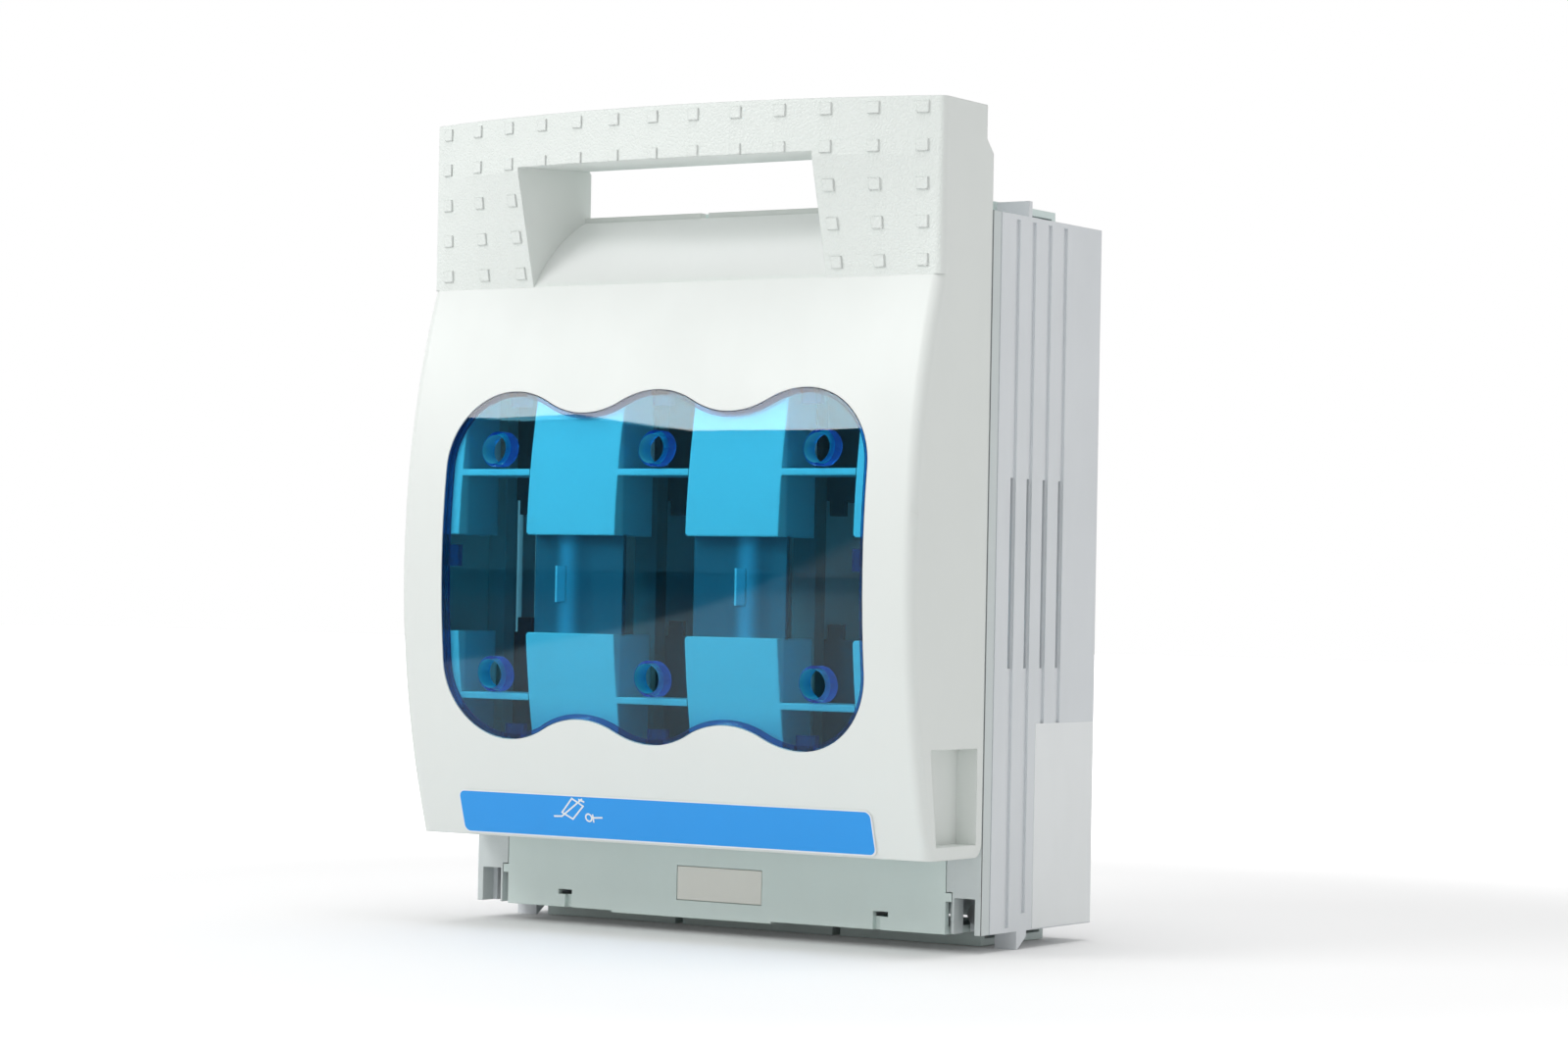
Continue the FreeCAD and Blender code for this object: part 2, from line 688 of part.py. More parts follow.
# Contacts
def jaw_contact(end, pole):
    centre = POLES[pole]
    tag = f"{end}_{pole}"
    low, high = from_end(end, "bar_end", "jaw_centre + jaw_height / 2")
    bar = box(f"bar_{tag}", f"{centre} - bar_width / 2", f"{centre} + bar_width / 2",
              "pedestal_depth", "bar_front", low, high)
    low, high = from_end(end, "jaw_centre - jaw_height / 2", "jaw_centre + jaw_height / 2")
    jaws = []
    for side_name, side in SIDES.items():
        inner = f"{centre} + {side} * jaw_gap / 2"
        outer = f"{centre} + {side} * (jaw_gap / 2 + jaw_thickness)"
        section = [(inner, "bar_front - bar_thickness / 2"), (inner, "jaw_front - jaw_flare * 2"),
                   (f"{inner} + {side} * jaw_flare", "jaw_front"),
                   (f"{outer} + {side} * jaw_flare", "jaw_front"),
                   (outer, "jaw_front - jaw_flare * 2"), (outer, "bar_front - bar_thickness / 2")]
        jaws.append(plan_prism(f"jaw_{tag}_{side_name}", section, low, high))
    joined = fuse(f"contact_body_{tag}", bar, *jaws)
    bolt_hole = rod(f"bolt_hole_{tag}", centre, at_end(end, "bolt_height"), "bolt_radius + bolt_clearance",
                    f"back_wall", f"bar_front + {MARGIN}")
    screw_hole = rod(f"screw_hole_{tag}", centre, at_end(end, "contact_screw_height"),
                     "contact_screw_radius + screw_clearance", "back_wall", f"bar_front + {MARGIN}")
    finish(cut(f"contact_{tag}", joined, bolt_hole, screw_hole), f"{end}_jaw_contact_{pole}")


def jaw_springs(end):
    leaves = []
    for pole, centre in POLES.items():
        for side_name, side in SIDES.items():
            near = f"{centre} + {side} * (jaw_gap / 2 + jaw_thickness)"
            far = f"{near} + {side} * spring_thickness"
            left, right = (near, far) if side > 0 else (far, near)
            low, high = from_end(end, "jaw_centre - spring_height / 2", "jaw_centre + spring_height / 2")
            leaves.append(box(f"{end}_leaf_{pole}_{side_name}", left, right, "spring_front - spring_depth",
                              "spring_front", low, high))
    finish(fuse(f"{end}_leaves", *leaves), f"{end}_jaw_springs")


def terminal_hardware(end):
    z = at_end(end, "bolt_height")
    bolts, washers, nuts, screws = [], [], [], []
    for pole, centre in POLES.items():
        tag = f"{end}_{pole}"
        head_rear = "bar_front + washer_thickness"
        bolts.append(fuse(f"bolt_{tag}",
                          hexagon(f"bolt_head_{tag}", centre, z, "bolt_head_flats", head_rear,
                                  f"{head_rear} + bolt_head_height"),
                          rod(f"bolt_shank_{tag}", centre, z, "bolt_radius", f"{head_rear} - bolt_length",
                              f"{head_rear} + bolt_head_height / 2")))
        washers.append(cut(f"washer_{tag}",
                           rod(f"washer_disc_{tag}", centre, z, "washer_radius", "bar_front", head_rear),
                           rod(f"washer_hole_{tag}", centre, z, "bolt_radius + bolt_clearance",
                               "back_wall", f"{head_rear} + {MARGIN}")))
        nuts.append(cut(f"nut_{tag}",
                        hexagon(f"nut_block_{tag}", centre, z, "bolt_head_flats", "pedestal_depth - nut_height",
                                "pedestal_depth"),
                        rod(f"nut_hole_{tag}", centre, z, "bolt_radius + thread_clearance", 0,
                            f"pedestal_depth + {MARGIN}")))
        screw_z = at_end(end, "contact_screw_height")
        head = rod(f"screw_head_{tag}", centre, screw_z, "contact_screw_head", "bar_front",
                   "bar_front + contact_screw_head_height")
        shank = rod(f"screw_shank_{tag}", centre, screw_z, "contact_screw_radius - thread_clearance",
                    "back_wall + thread_clearance", "bar_front + contact_screw_head_height / 2")
        slot = box(f"screw_slot_{tag}", f"{centre} - contact_screw_head", f"{centre} + contact_screw_head",
                   "bar_front + contact_screw_head_height / 2", f"bar_front + contact_screw_head_height + {MARGIN}",
                   f"{screw_z} - screw_slot / 2", f"{screw_z} + screw_slot / 2")
        screws.append(cut(f"contact_screw_{tag}", fuse(f"screw_body_{tag}", head, shank), slot))
    finish(fuse(f"{end}_bolts", *bolts), f"{end}_terminal_bolts")
    finish(fuse(f"{end}_washers", *washers), f"{end}_terminal_washers")
    finish(fuse(f"{end}_nuts", *nuts), f"{end}_terminal_nuts")
    finish(fuse(f"{end}_screws", *screws), f"{end}_contact_screws")


def corner_screws():
    screws = []
    for end in ENDS:
        for side_name, side in SIDES.items():
            x = f"{side} * (half_width - side_wall - post_width / 2)"
            z = at_end(end, "pocket_height / 2")
            head = rod(f"corner_head_{end}_{side_name}", x, z, "corner_screw_head", "post_front",
                       "post_front + corner_screw_head_height")
            shank = rod(f"corner_shank_{end}_{side_name}", x, z, "corner_screw_radius - thread_clearance",
                        "post_front - corner_screw_length + thread_clearance",
                        "post_front + corner_screw_head_height / 2")
            screws.append(fuse(f"corner_screw_{end}_{side_name}", head, shank))
    finish(fuse("corner_screw_set", *screws), "corner_screws")


# Contact covers: boxes over the jaws with a slot for the blade
def contact_cover(end, pole):
    centre = POLES[pole]
    tag = f"{end}_{pole}"
    half = "(phase_chamber / 2 - cover_clearance)"
    low, high = from_end(end, "contact_cover_inner", "contact_cover_outer")
    shell = box(f"cover_shell_{tag}", f"{centre} - {half}", f"{centre} + {half}", "contact_cover_rear",
                "contact_cover_front", low, high)
    inner_low, inner_high = from_end(end, f"contact_cover_inner - {MARGIN}", "contact_cover_outer - contact_cover_wall")
    room = box(f"cover_room_{tag}", f"{centre} - {half} + contact_cover_wall",
               f"{centre} + {half} - contact_cover_wall", f"contact_cover_rear - {MARGIN}",
               "contact_cover_front - contact_cover_wall", inner_low, inner_high)
    slot_low, slot_high = from_end(end, "jaw_centre - jaw_height / 2 - blade_slot_end",
                                   "jaw_centre + jaw_height / 2 + blade_slot_end")
    slot = box(f"blade_slot_{tag}", f"{centre} - blade_slot_width / 2", f"{centre} + blade_slot_width / 2",
               "contact_cover_front - contact_cover_wall * 2", f"contact_cover_front + {MARGIN}", slot_low, slot_high)
    nib_low, nib_high = from_end(end, "contact_cover_outer - contact_cover_wall", "contact_cover_outer + nib_height")
    nib = box(f"cover_nib_{tag}", f"{centre} - {half} + contact_cover_wall",
              f"{centre} - {half} + contact_cover_wall + nib_width",
              "contact_cover_front - nib_depth", "contact_cover_front", nib_low, nib_high)
    finish(cut(f"contact_cover_{tag}", fuse(f"cover_body_{tag}", shell, nib), room, slot),
           f"{end}_contact_cover_{pole}")


def arc_plates(end, pole):
    centre = POLES[pole]
    half = "(phase_chamber / 2 - cover_clearance - contact_cover_wall)"
    plates = []
    for number in range(round(size("arc_plate_count"))):
        near = f"arc_plate_low + {number} * arc_plate_pitch"
        low, high = from_end(end, near, f"{near} + arc_plate_thickness")
        plates.append(box(f"arc_plate_{end}_{pole}_{number}", f"{centre} - {half}", f"{centre} + {half}",
                          "contact_cover_front - contact_cover_wall - arc_plate_depth",
                          "contact_cover_front - contact_cover_wall", low, high))
    mouth_low, mouth_high = from_end(end, "arc_plate_low - arc_plate_pitch",
                                     "arc_plate_low + arc_plate_pitch * arc_plate_count")
    mouth = box(f"arc_mouth_{end}_{pole}", f"{centre} - blade_slot_width", f"{centre} + blade_slot_width",
                "contact_cover_front - contact_cover_wall - arc_plate_depth / 2",
                f"contact_cover_front + {MARGIN}", mouth_low, mouth_high)
    finish(cut(f"arc_stack_{end}_{pole}", fuse(f"arc_set_{end}_{pole}", *plates), mouth), f"{end}_arc_plates_{pole}")


# Lid
def front_depth(height, inset="0"):
    """Depth of the lid's bowed front at a height, moved in by an inset."""
    return (f"(lid_crown_depth - lid_radius + "
            f"sqrt((lid_radius - ({inset})) ^ 2 - (({height}) - lid_crown_height) ^ 2))")


def bowed_slab(name, outer, inner, low, high, half):
    """The layer between two insets of the bowed front."""
    corners = [(front_depth(low, outer), low, f"lid_radius - ({outer})", 1), (front_depth(high, outer), high),
               (front_depth(high, inner), high, f"lid_radius - ({inner})", -1), (front_depth(low, inner), low)]
    return side_prism(name, corners, f"-({half})", half)


def lid_block(name, inset, rear, rounded):
    """The lid's outer form, or with an inset the room inside its wall."""
    half = f"(half_width - ({inset}))"
    waist = front_depth("grip_low", inset)
    # the bowed front is a slice of a drum with rounded rims
    face = f"(lid_radius - ({inset}))"
    profile = [(f"-{half}", "0"), (f"-{half}", f"-{face}"), (half, f"-{face}"), (half, "0")]
    if rounded:
        rim, shoulder = f"({face} - lid_edge_radius)", f"({half} - lid_edge_radius)"
        profile[1:3] = [(f"-{half}", f"-{rim}", "lid_edge_radius", -1), (f"-{shoulder}", f"-{face}"),
                        (shoulder, f"-{face}", "lid_edge_radius", -1), (half, f"-{rim}")]
    drum = new_body(name + "_drum")
    sketch = outline(drum, name + "_profile", "XY_Plane", "lid_crown_height", profile, "lid_radius - lid_crown_depth")
    turn = drum.newObject("PartDesign::Revolution", name + "_turn")
    turn.Profile = sketch
    turn.ReferenceAxis = (sketch, ["H_Axis"])
    turn.Angle = 360
    front = common(name + "_front", drum, box(name + "_slice", f"-{half}", half, rear, "lid_crown_depth + " + MARGIN,
                                              f"lid_low + ({inset})", "grip_low"))
    # the grip is straight across at the waist and bowed forwards at the bar
    bow, bow_centre = f"(grip_radius - ({inset}))", "(grip_crown_depth - grip_radius)"
    edge = f"({bow_centre} + sqrt({bow} ^ 2 - {half} ^ 2))"
    back = [(half, f"-({rear})"), (f"-{half}", f"-({rear})")]
    straight = [(f"-{half}", f"-{waist}"), (half, f"-{waist}")] + back
    bowed = [(f"-{half}", f"-{edge}", bow, -1), (half, f"-{edge}")] + back
    if rounded:
        shoulder = f"({half} - grip_edge_radius)"
        straight = [(f"-{shoulder}", f"-{waist}"), (shoulder, f"-{waist}", "grip_edge_radius", -1),
                    (half, f"-({waist} - grip_edge_radius)")] + back
        straight += [(f"-{half}", f"-({waist} - grip_edge_radius)", "grip_edge_radius", -1)]
        reach = f"sqrt(({bow} - grip_edge_radius) ^ 2 - {shoulder} ^ 2)"
        stretch = f"{bow} / ({bow} - grip_edge_radius)"
        side, x, y = f"-({bow_centre} + {reach})", f"{shoulder} * {stretch}", f"-({bow_centre} + {reach} * {stretch})"
        bowed = [(f"-{x}", y, bow, -1), (x, y, "grip_edge_radius", -1), (half, side)] + back
        bowed += [(f"-{half}", side, "grip_edge_radius", -1)]
    block = new_body(name)
    lower = outline(block, name + "_waist", "XY_Plane", "grip_low", straight)
    upper = outline(block, name + "_bow", "XY_Plane", "bar_low", bowed)
    grip = block.newObject("PartDesign::AdditiveLoft", name + "_grip")
    grip.Profile = lower
    grip.Sections = [upper]
    grip.Ruled = True
    pad(block, upper, f"lid_top - ({inset}) - bar_low")
    return fuse(name + "_form", front, block)


def window_outline(inset):
    """Three lobes above and below, with hollows between them and round corners."""
    half, top, bottom = f"(window_half - {inset})", f"(window_top - {inset})", f"(window_bottom + {inset})"
    lobe, hollow, corner = f"lobe_radius - {inset}", f"lobe_radius + {inset}", f"corner_radius - {inset}"
    run = f"(lobe_pitch * ({lobe}) / (4 * lobe_radius))"
    drop = f"(({lobe}) * (1 - wave_cosine))"
    return [
        (half, f"{top} - ({corner})", corner, -1),
        ("lobe_pitch", top, lobe, -1),
        (f"lobe_pitch - {run}", f"{top} - {drop}", hollow, 1),
        (run, f"{top} - {drop}", lobe, -1),
        (f"-{run}", f"{top} - {drop}", hollow, 1),
        (f"-lobe_pitch + {run}", f"{top} - {drop}", lobe, -1),
        ("-lobe_pitch", top, corner, -1),
        (f"-{half}", f"{top} - ({corner})"),
        (f"-{half}", f"{bottom} + ({corner})", corner, -1),
        ("-lobe_pitch", bottom, lobe, -1),
        (f"-lobe_pitch + {run}", f"{bottom} + {drop}", hollow, 1),
        (f"-{run}", f"{bottom} + {drop}", lobe, -1),
        (run, f"{bottom} + {drop}", hollow, 1),
        (f"lobe_pitch - {run}", f"{bottom} + {drop}", lobe, -1),
        ("lobe_pitch", bottom, corner, -1),
        (half, f"{bottom} + ({corner})"),
    ]


def window_prism(name, inset):
    return front_prism(name, window_outline(inset), "carrier_back", f"lid_crown_depth + {MARGIN}")


def lid_hollows(tag, grow):
    """The finger opening with its scoop, and the recess in each side. Grown by a wall, they keep
    that wall clear of the room inside the lid."""
    ahead = "lid_crown_depth + grip_crown_depth - lid_rear"
    behind = f"lid_rear - {MARGIN}"
    start = (f"waist_depth - 0.82 * ({grow})", f"grip_low - 0.57 * ({grow})", f"scoop_radius - ({grow})", 1)
    rear_end = (f"lid_rear + lid_wall - 0.36 * ({grow})", f"scoop_rear_height - 0.93 * ({grow})")
    lip = [(rear_end[0], "scoop_rear_height + lip_height"), (behind, "scoop_rear_height + lip_height")]
    if grow != "0":
        lip = [(behind, rear_end[1])]
    corners = [(ahead, f"grip_low - 0.57 * ({grow})"), start, rear_end] + lip
    corners += [(behind, f"bar_low + opening_rise + ({grow})"), (ahead, f"bar_low - opening_rise / 2 + ({grow})")]
    hollows = [side_prism(f"{tag}_opening", corners, f"-opening_half - ({grow})", f"opening_half + ({grow})")]
    for side_name, side in SIDES.items():
        recess = [(f"lid_rear + recess_rear - ({grow})", f"recess_low - ({grow})"),
                  (f"{front_depth('recess_low')} - recess_lip_low + ({grow})", f"recess_low - ({grow})"),
                  (f"{front_depth('recess_high')} - recess_lip_high + ({grow})", f"recess_high + ({grow})"),
                  (f"lid_rear + recess_rear - ({grow})", f"recess_high + ({grow})")]
        left, right = mirrored(side, f"half_width - recess_depth - ({grow})", f"half_width + {MARGIN}")
        hollows.append(side_prism(f"{tag}_recess_{side_name}", recess, left, right))
    return hollows


def grip_squares():
    """Raised squares: two full rows along the bar and three more down each leg."""
    blocks = []
    for row in range(5):
        for column in range(-6, 7):
            if row > 1 and abs(column) < 4:
                continue
            x = f"square_pitch_x * {column}"
            z = f"square_top - square_pitch_z * {row}"
            blocks.append(box(f"square_{row}_{column + 6}", f"{x} - square_size / 2", f"{x} + square_size / 2",
                              "lid_rear", "lid_crown_depth + grip_crown_depth",
                              f"{z} - square_size / 2", f"{z} + square_size / 2"))
    skin = lid_block("grip_skin", "-square_height", "lid_rear", False)
    return common("squares", fuse("square_blocks", *blocks), skin)


CARRIER_SCREWS = {"low": "carrier_low - flange_reach / 2", "high": "carrier_high + flange_reach / 2"}


def lid_cover():
    outer = lid_block("lid_outer", "0", "lid_rear", True)
    room = lid_block("lid_room", "lid_wall", "base_depth / 2", False)
    inner = cut("lid_inner", room, *lid_hollows("grown", "lid_wall"))
    heel = side_prism("heel_cut", [(f"lid_rear - {MARGIN}", "heel_low"), ("lid_rear", "heel_low"),
                                   ("lid_rear + heel_depth", "heel_high"),
                                   ("lid_rear + heel_depth", f"lid_top + {MARGIN}"),
                                   (f"lid_rear - {MARGIN}", f"lid_top + {MARGIN}")],
                      f"-half_width - {MARGIN}", f"half_width + {MARGIN}")
    toe = cut("toe_cut", box("toe_block", f"-half_width - {MARGIN}", f"half_width + {MARGIN}", f"lid_rear - {MARGIN}",
                             "hinge_depth", f"lid_low - {MARGIN}", "hinge_height"),
              axle("toe_round", "hinge_depth", "hinge_height", "hinge_inset",
                   f"-half_width - 2 * {MARGIN}", f"half_width + 2 * {MARGIN}"))
    notches = []
    ears = []
    bores = []
    for side_name, side in SIDES.items():
        left, right = mirrored(side, "hinge_x - lug_width / 2 - hinge_side_gap", "hinge_x + lug_width / 2 + hinge_side_gap")
        notches.append(box(f"hinge_notch_{side_name}", left, right, f"lid_rear - {MARGIN}",
                           "hinge_depth + lug_radius + hinge_side_gap", f"lid_low - {MARGIN}",
                           "hinge_height + lug_radius"))
        for where in (-1, 1):
            middle = f"(hinge_x + {where} * (lug_width / 2 + hinge_side_gap + ear_width / 2))"
            left, right = mirrored(side, f"{middle} - ear_width / 2", f"{middle} + ear_width / 2")
            ears.append(box(f"ear_{side_name}_{where + 1}", left, right, "hinge_depth", "hinge_depth + ear_length",
                            "lid_low + lid_wall / 2", "hinge_height + lug_radius"))
            ears.append(axle(f"ear_end_{side_name}_{where + 1}", "hinge_depth", "hinge_height", "lug_radius",
                             left, right))
        left, right = mirrored(side, "hinge_x - pin_half - pin_clearance", "hinge_x + pin_half + pin_clearance")
        bores.append(axle(f"ear_bore_{side_name}", "hinge_depth", "hinge_height", "pin_radius + pin_clearance",
                          left, right))
    bosses = []
    for side_name, side in SIDES.items():
        for level, z in CARRIER_SCREWS.items():
            x = f"{side} * lid_boss_x"
            bosses.append(rod(f"lid_boss_{side_name}_{level}", x, z, "lid_boss_radius",
                              "carrier_back + flange_thickness", front_depth(z, "lid_wall / 2")))
            bores.append(rod(f"lid_boss_bore_{side_name}_{level}", x, z, "carrier_screw_radius",
                             "carrier_back", "carrier_back + carrier_screw_length + thread_clearance"))
    solid = fuse("lid_solid", outer, grip_squares())
    shell = cut("lid_shell", solid, inner, *lid_hollows("open", "0"), heel, toe, *notches,
                window_prism("lid_window_opening", "0"),
                box("lip_notch", "lip_notch_x - lip_notch_width / 2", "lip_notch_x + lip_notch_width / 2",
                    f"lid_rear - {MARGIN}", f"lid_rear + lid_wall + {MARGIN}", "scoop_rear_height",
                    "scoop_rear_height + lip_height + " + MARGIN))
    finish(cut("lid", fuse("lid_with_bosses", shell, *ears, *bosses), *bores), "lid_cover")


def window():
    outer = window_prism("window_edge", "window_clearance")
    panel = common("window_panel", outer,
                   bowed_slab("window_layer", "0", "window_thickness", "lid_low", "grip_low", "half_width"))
    rim_solid = common("window_rim_solid", window_prism("window_edge_again", "window_clearance"),
                       bowed_slab("window_deep_layer", "0", "window_skirt", "lid_low", "grip_low", "half_width"))
    rim = cut("window_rim", rim_solid, window_prism("window_inside", "(window_clearance + window_skirt_wall)"))
    tubes, bores, clips = [], [], []
    for pole, centre in POLES.items():
        for level, z in (("high", "tube_high"), ("low", "tube_low")):
            tubes.append(rod(f"tube_{pole}_{level}", centre, z, "tube_radius", "carrier_back", "lid_crown_depth"))
            bores.append(rod(f"tube_bore_{pole}_{level}", centre, z, "tube_bore", "carrier_back - " + MARGIN,
                             "lid_crown_depth + " + MARGIN))
    tube_layer = bowed_slab("tube_layer", "0", "tube_length", "lid_low", "grip_low", "half_width")
    tube_set = common("tube_set", fuse("tube_rods", *tubes), tube_layer)
    hook = "lid_wall + window_clearance"
    for number, x in enumerate(("-lobe_pitch", "0", "lobe_pitch")):
        for level, z, outward in (("high", "window_top", 1), ("low", "window_bottom", -1)):
            root = f"{z} - {outward} * (window_clearance + window_skirt_wall)"
            inner = f"{z} - {outward} * clip_inward"
            tip = f"{z} + {outward} * clip_reach"
            low, high = (inner, tip) if outward > 0 else (tip, inner)
            face = front_depth(tip, hook)
            clips.append(box(f"clip_{number}_{level}", f"{x} - clip_width / 2", f"{x} + clip_width / 2",
                             f"{face} - clip_thickness", face, low, high))
            web_low, web_high = (root, z) if outward > 0 else (z, root)
            clips.append(box(f"clip_web_{number}_{level}", f"{x} - clip_width / 2", f"{x} + clip_width / 2",
                             f"{face} - clip_thickness", f"{face} + lid_wall",
                             f"{web_low} + window_clearance * {0 if outward > 0 else 1}",
                             f"{web_high} - window_clearance * {1 if outward > 0 else 0}"))
    for side_name, side in SIDES.items():
        face = front_depth("window_centre", hook)
        left, right = mirrored(side, "window_half - clip_inward", "window_half + clip_reach")
        low, high = "clip_side_height - clip_width / 2", "clip_side_height + clip_width / 2"
        clips.append(box(f"clip_{side_name}", left, right, f"{face} - clip_thickness", face, low, high))
        left, right = mirrored(side, "window_half - window_clearance - window_skirt_wall",
                               "window_half - window_clearance")
        clips.append(box(f"clip_web_{side_name}", left, right, f"{face} - clip_thickness", f"{face} + lid_wall / 2",
                         low, high))
    finish(cut("window_piece", fuse("window_body", panel, rim, tube_set, *clips), *bores), "window")


def label_band():
    layer = bowed_slab("label_layer", "-label_thickness", "0", "lid_low", "grip_low", "half_width")
    corner = "label_corner"
    shape = [("label_half", f"label_high - {corner}", corner, -1), (f"label_half - {corner}", "label_high"),
             (f"-label_half + {corner}", "label_high", corner, -1), ("-label_half", f"label_high - {corner}"),
             ("-label_half", f"label_low + {corner}", corner, -1), (f"-label_half + {corner}", "label_low"),
             (f"label_half - {corner}", "label_low", corner, -1), ("label_half", f"label_low + {corner}")]
    sheet_prism = front_prism("label_prism", shape, "carrier_back", f"lid_crown_depth + {MARGIN}")
    finish(common("label", sheet_prism, layer), "label_band")


# Fuse carrier
def carrier_form(name, inset):
    """The carrier's outer form, or the room inside its walls."""
    gap = f"lid_wall + carrier_gap + ({inset})"
    low, high = f"carrier_low + ({inset})", f"carrier_high - ({inset})"
    rear = f"carrier_back - {MARGIN}" if inset != "0" else "carrier_back"
    corners = [(rear, low), (front_depth(low, gap), low, f"lid_radius - ({gap})", 1),
               (front_depth(high, gap), high), (rear, high)]
    half = f"(carrier_half - ({inset}))"
    return side_prism(name, corners, f"-{half}", half)


def fuse_carrier():
    form = carrier_form("carrier_form", "0")
    ahead = "lid_crown_depth"
    behind = f"carrier_back - {MARGIN}"
    openings = []
    for pole, centre in POLES.items():
        left, right = f"{centre} - fuse_pocket / 2", f"{centre} + fuse_pocket / 2"
        spans = {"top": ("rib_high + rib_thickness / 2", "carrier_high - carrier_wall"),
                 "upper": ("middle_high - " + MARGIN, "rib_high - rib_thickness / 2"),
                 "lower": ("rib_low + rib_thickness / 2", "middle_low + " + MARGIN),
                 "bottom": ("carrier_low + carrier_wall", "rib_low - rib_thickness / 2")}
        for span, (low, high) in spans.items():
            openings.append(box(f"fuse_pocket_{pole}_{span}", left, right, behind, ahead, low, high))
    # between the upper and lower blocks only the two spines are left
    spine_near, spine_far = "spine_x - spine_width / 2", "spine_x + spine_width / 2"
    middle = [box("middle_span", f"-({spine_near})", spine_near, behind, ahead, "middle_low", "middle_high"),
              box("spine_front", "-carrier_half", "carrier_half", "lid_crown_depth - lid_wall - carrier_gap - spine_set",
                  ahead, "middle_low", "middle_high")]
    hollows = []
    for side_name, side in SIDES.items():
        left, right = mirrored(side, spine_far, "carrier_half + " + MARGIN)
        middle.append(box(f"middle_span_{side_name}", left, right, behind, ahead, "middle_low", "middle_high"))
        spans = ((f"fuse_pocket / 2 + carrier_wall", f"pole_pitch - fuse_pocket / 2 - carrier_wall"),
                 (f"pole_pitch + fuse_pocket / 2 + carrier_wall", "carrier_half - carrier_wall"))
        for number, (near, far) in enumerate(spans):
            left, right = mirrored(side, near, far)
            hollows.append(box(f"hollow_up_{side_name}_{number}", left, right, behind, ahead,
                               "middle_high + carrier_wall", "carrier_high"))
            hollows.append(box(f"hollow_down_{side_name}_{number}", left, right, behind, ahead,
                               "carrier_low", "middle_low - carrier_wall"))
    room = common("carrier_room", fuse("hollow_boxes", *hollows), carrier_form("carrier_inner", "carrier_wall"))
    opened = cut("carrier_opened", form, *openings, *middle, room)
    bulge_centre = "(middle_low + middle_high) / 2"
    bulges = []
    flanges = []
    holes = []
    for side_name, side in SIDES.items():
        bulges.append(box(f"spine_bulge_{side_name}", f"{side} * spine_x - spine_width / 2 - spine_bulge",
                          f"{side} * spine_x", "carrier_back + carrier_wall",
                          front_depth("window_centre", "lid_wall + carrier_gap + spine_bulge_set"),
                          f"{bulge_centre} - spine_bulge_half", f"{bulge_centre} + spine_bulge_half"))
        for level, z in CARRIER_SCREWS.items():
            x = f"{side} * lid_boss_x"
            holes.append(rod(f"flange_hole_{side_name}_{level}", x, z, "carrier_screw_radius + screw_clearance",
                             behind, "carrier_back + flange_thickness + " + MARGIN))
    flanges.append(box("flange_low", "-carrier_half", "carrier_half", "carrier_back", "carrier_back + flange_thickness",
                       "carrier_low - flange_reach", "carrier_low + carrier_wall"))
    flanges.append(box("flange_high", "-carrier_half", "carrier_half", "carrier_back",
                       "carrier_back + flange_thickness", "carrier_high - carrier_wall", "carrier_high + flange_reach"))
    finish(cut("carrier", fuse("carrier_body", opened, *bulges, *flanges), *holes), "fuse_carrier")


def carrier_screws():
    screws = []
    for side_name, side in SIDES.items():
        for level, z in CARRIER_SCREWS.items():
            x = f"{side} * lid_boss_x"
            head = rod(f"carrier_head_{side_name}_{level}", x, z, "carrier_screw_head",
                       "carrier_back - carrier_screw_head_height", "carrier_back")
            shank = rod(f"carrier_shank_{side_name}_{level}", x, z, "carrier_screw_radius - thread_clearance",
                        "carrier_back - carrier_screw_head_height / 2", "carrier_back + carrier_screw_length")
            screws.append(fuse(f"carrier_screw_{side_name}_{level}", head, shank))
    finish(fuse("carrier_screw_set", *screws), "carrier_screws")


def hinge_pins():
    for side_name, side in SIDES.items():
        left, right = mirrored(side, "hinge_x - pin_half", "hinge_x + pin_half")
        finish(axle(f"pin_{side_name}", "hinge_depth", "hinge_height", "pin_radius", left, right),
               f"hinge_pin_{side_name}")


base_housing()
front_frame()
name_plate()
side_label()
corner_screws()
for end_name in ENDS:
    terminal_cover(end_name)
    jaw_springs(end_name)
    terminal_hardware(end_name)
    for pole_name in POLES:
        jaw_contact(end_name, pole_name)
        contact_cover(end_name, pole_name)
        arc_plates(end_name, pole_name)
lid_cover()
window()
label_band()
fuse_carrier()
carrier_screws()
hinge_pins()
doc.recompute()

for item in doc.Objects:
    if "Invalid" in item.State or "Error" in item.State:
        raise RuntimeError(f"{item.Name} failed: {item.State}")
for piece in FINISHED:
    if piece.Shape.isNull() or not piece.Shape.isValid() or not piece.Shape.Solids:
        raise RuntimeError(f"{piece.Label} has no valid solid")

os.makedirs("parts", exist_ok=True)
for piece in FINISHED:
    piece.Shape.exportStep(f"parts/{piece.Label}.step")
    print(piece.Label, len(piece.Shape.Solids), round(piece.Shape.Volume, 1))
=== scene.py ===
import json
import logging
import math
from dataclasses import dataclass
from enum import Enum
from typing import Optional, Sequence, Union

import bmesh
import bpy
import numpy as np
from mathutils import Matrix, Vector


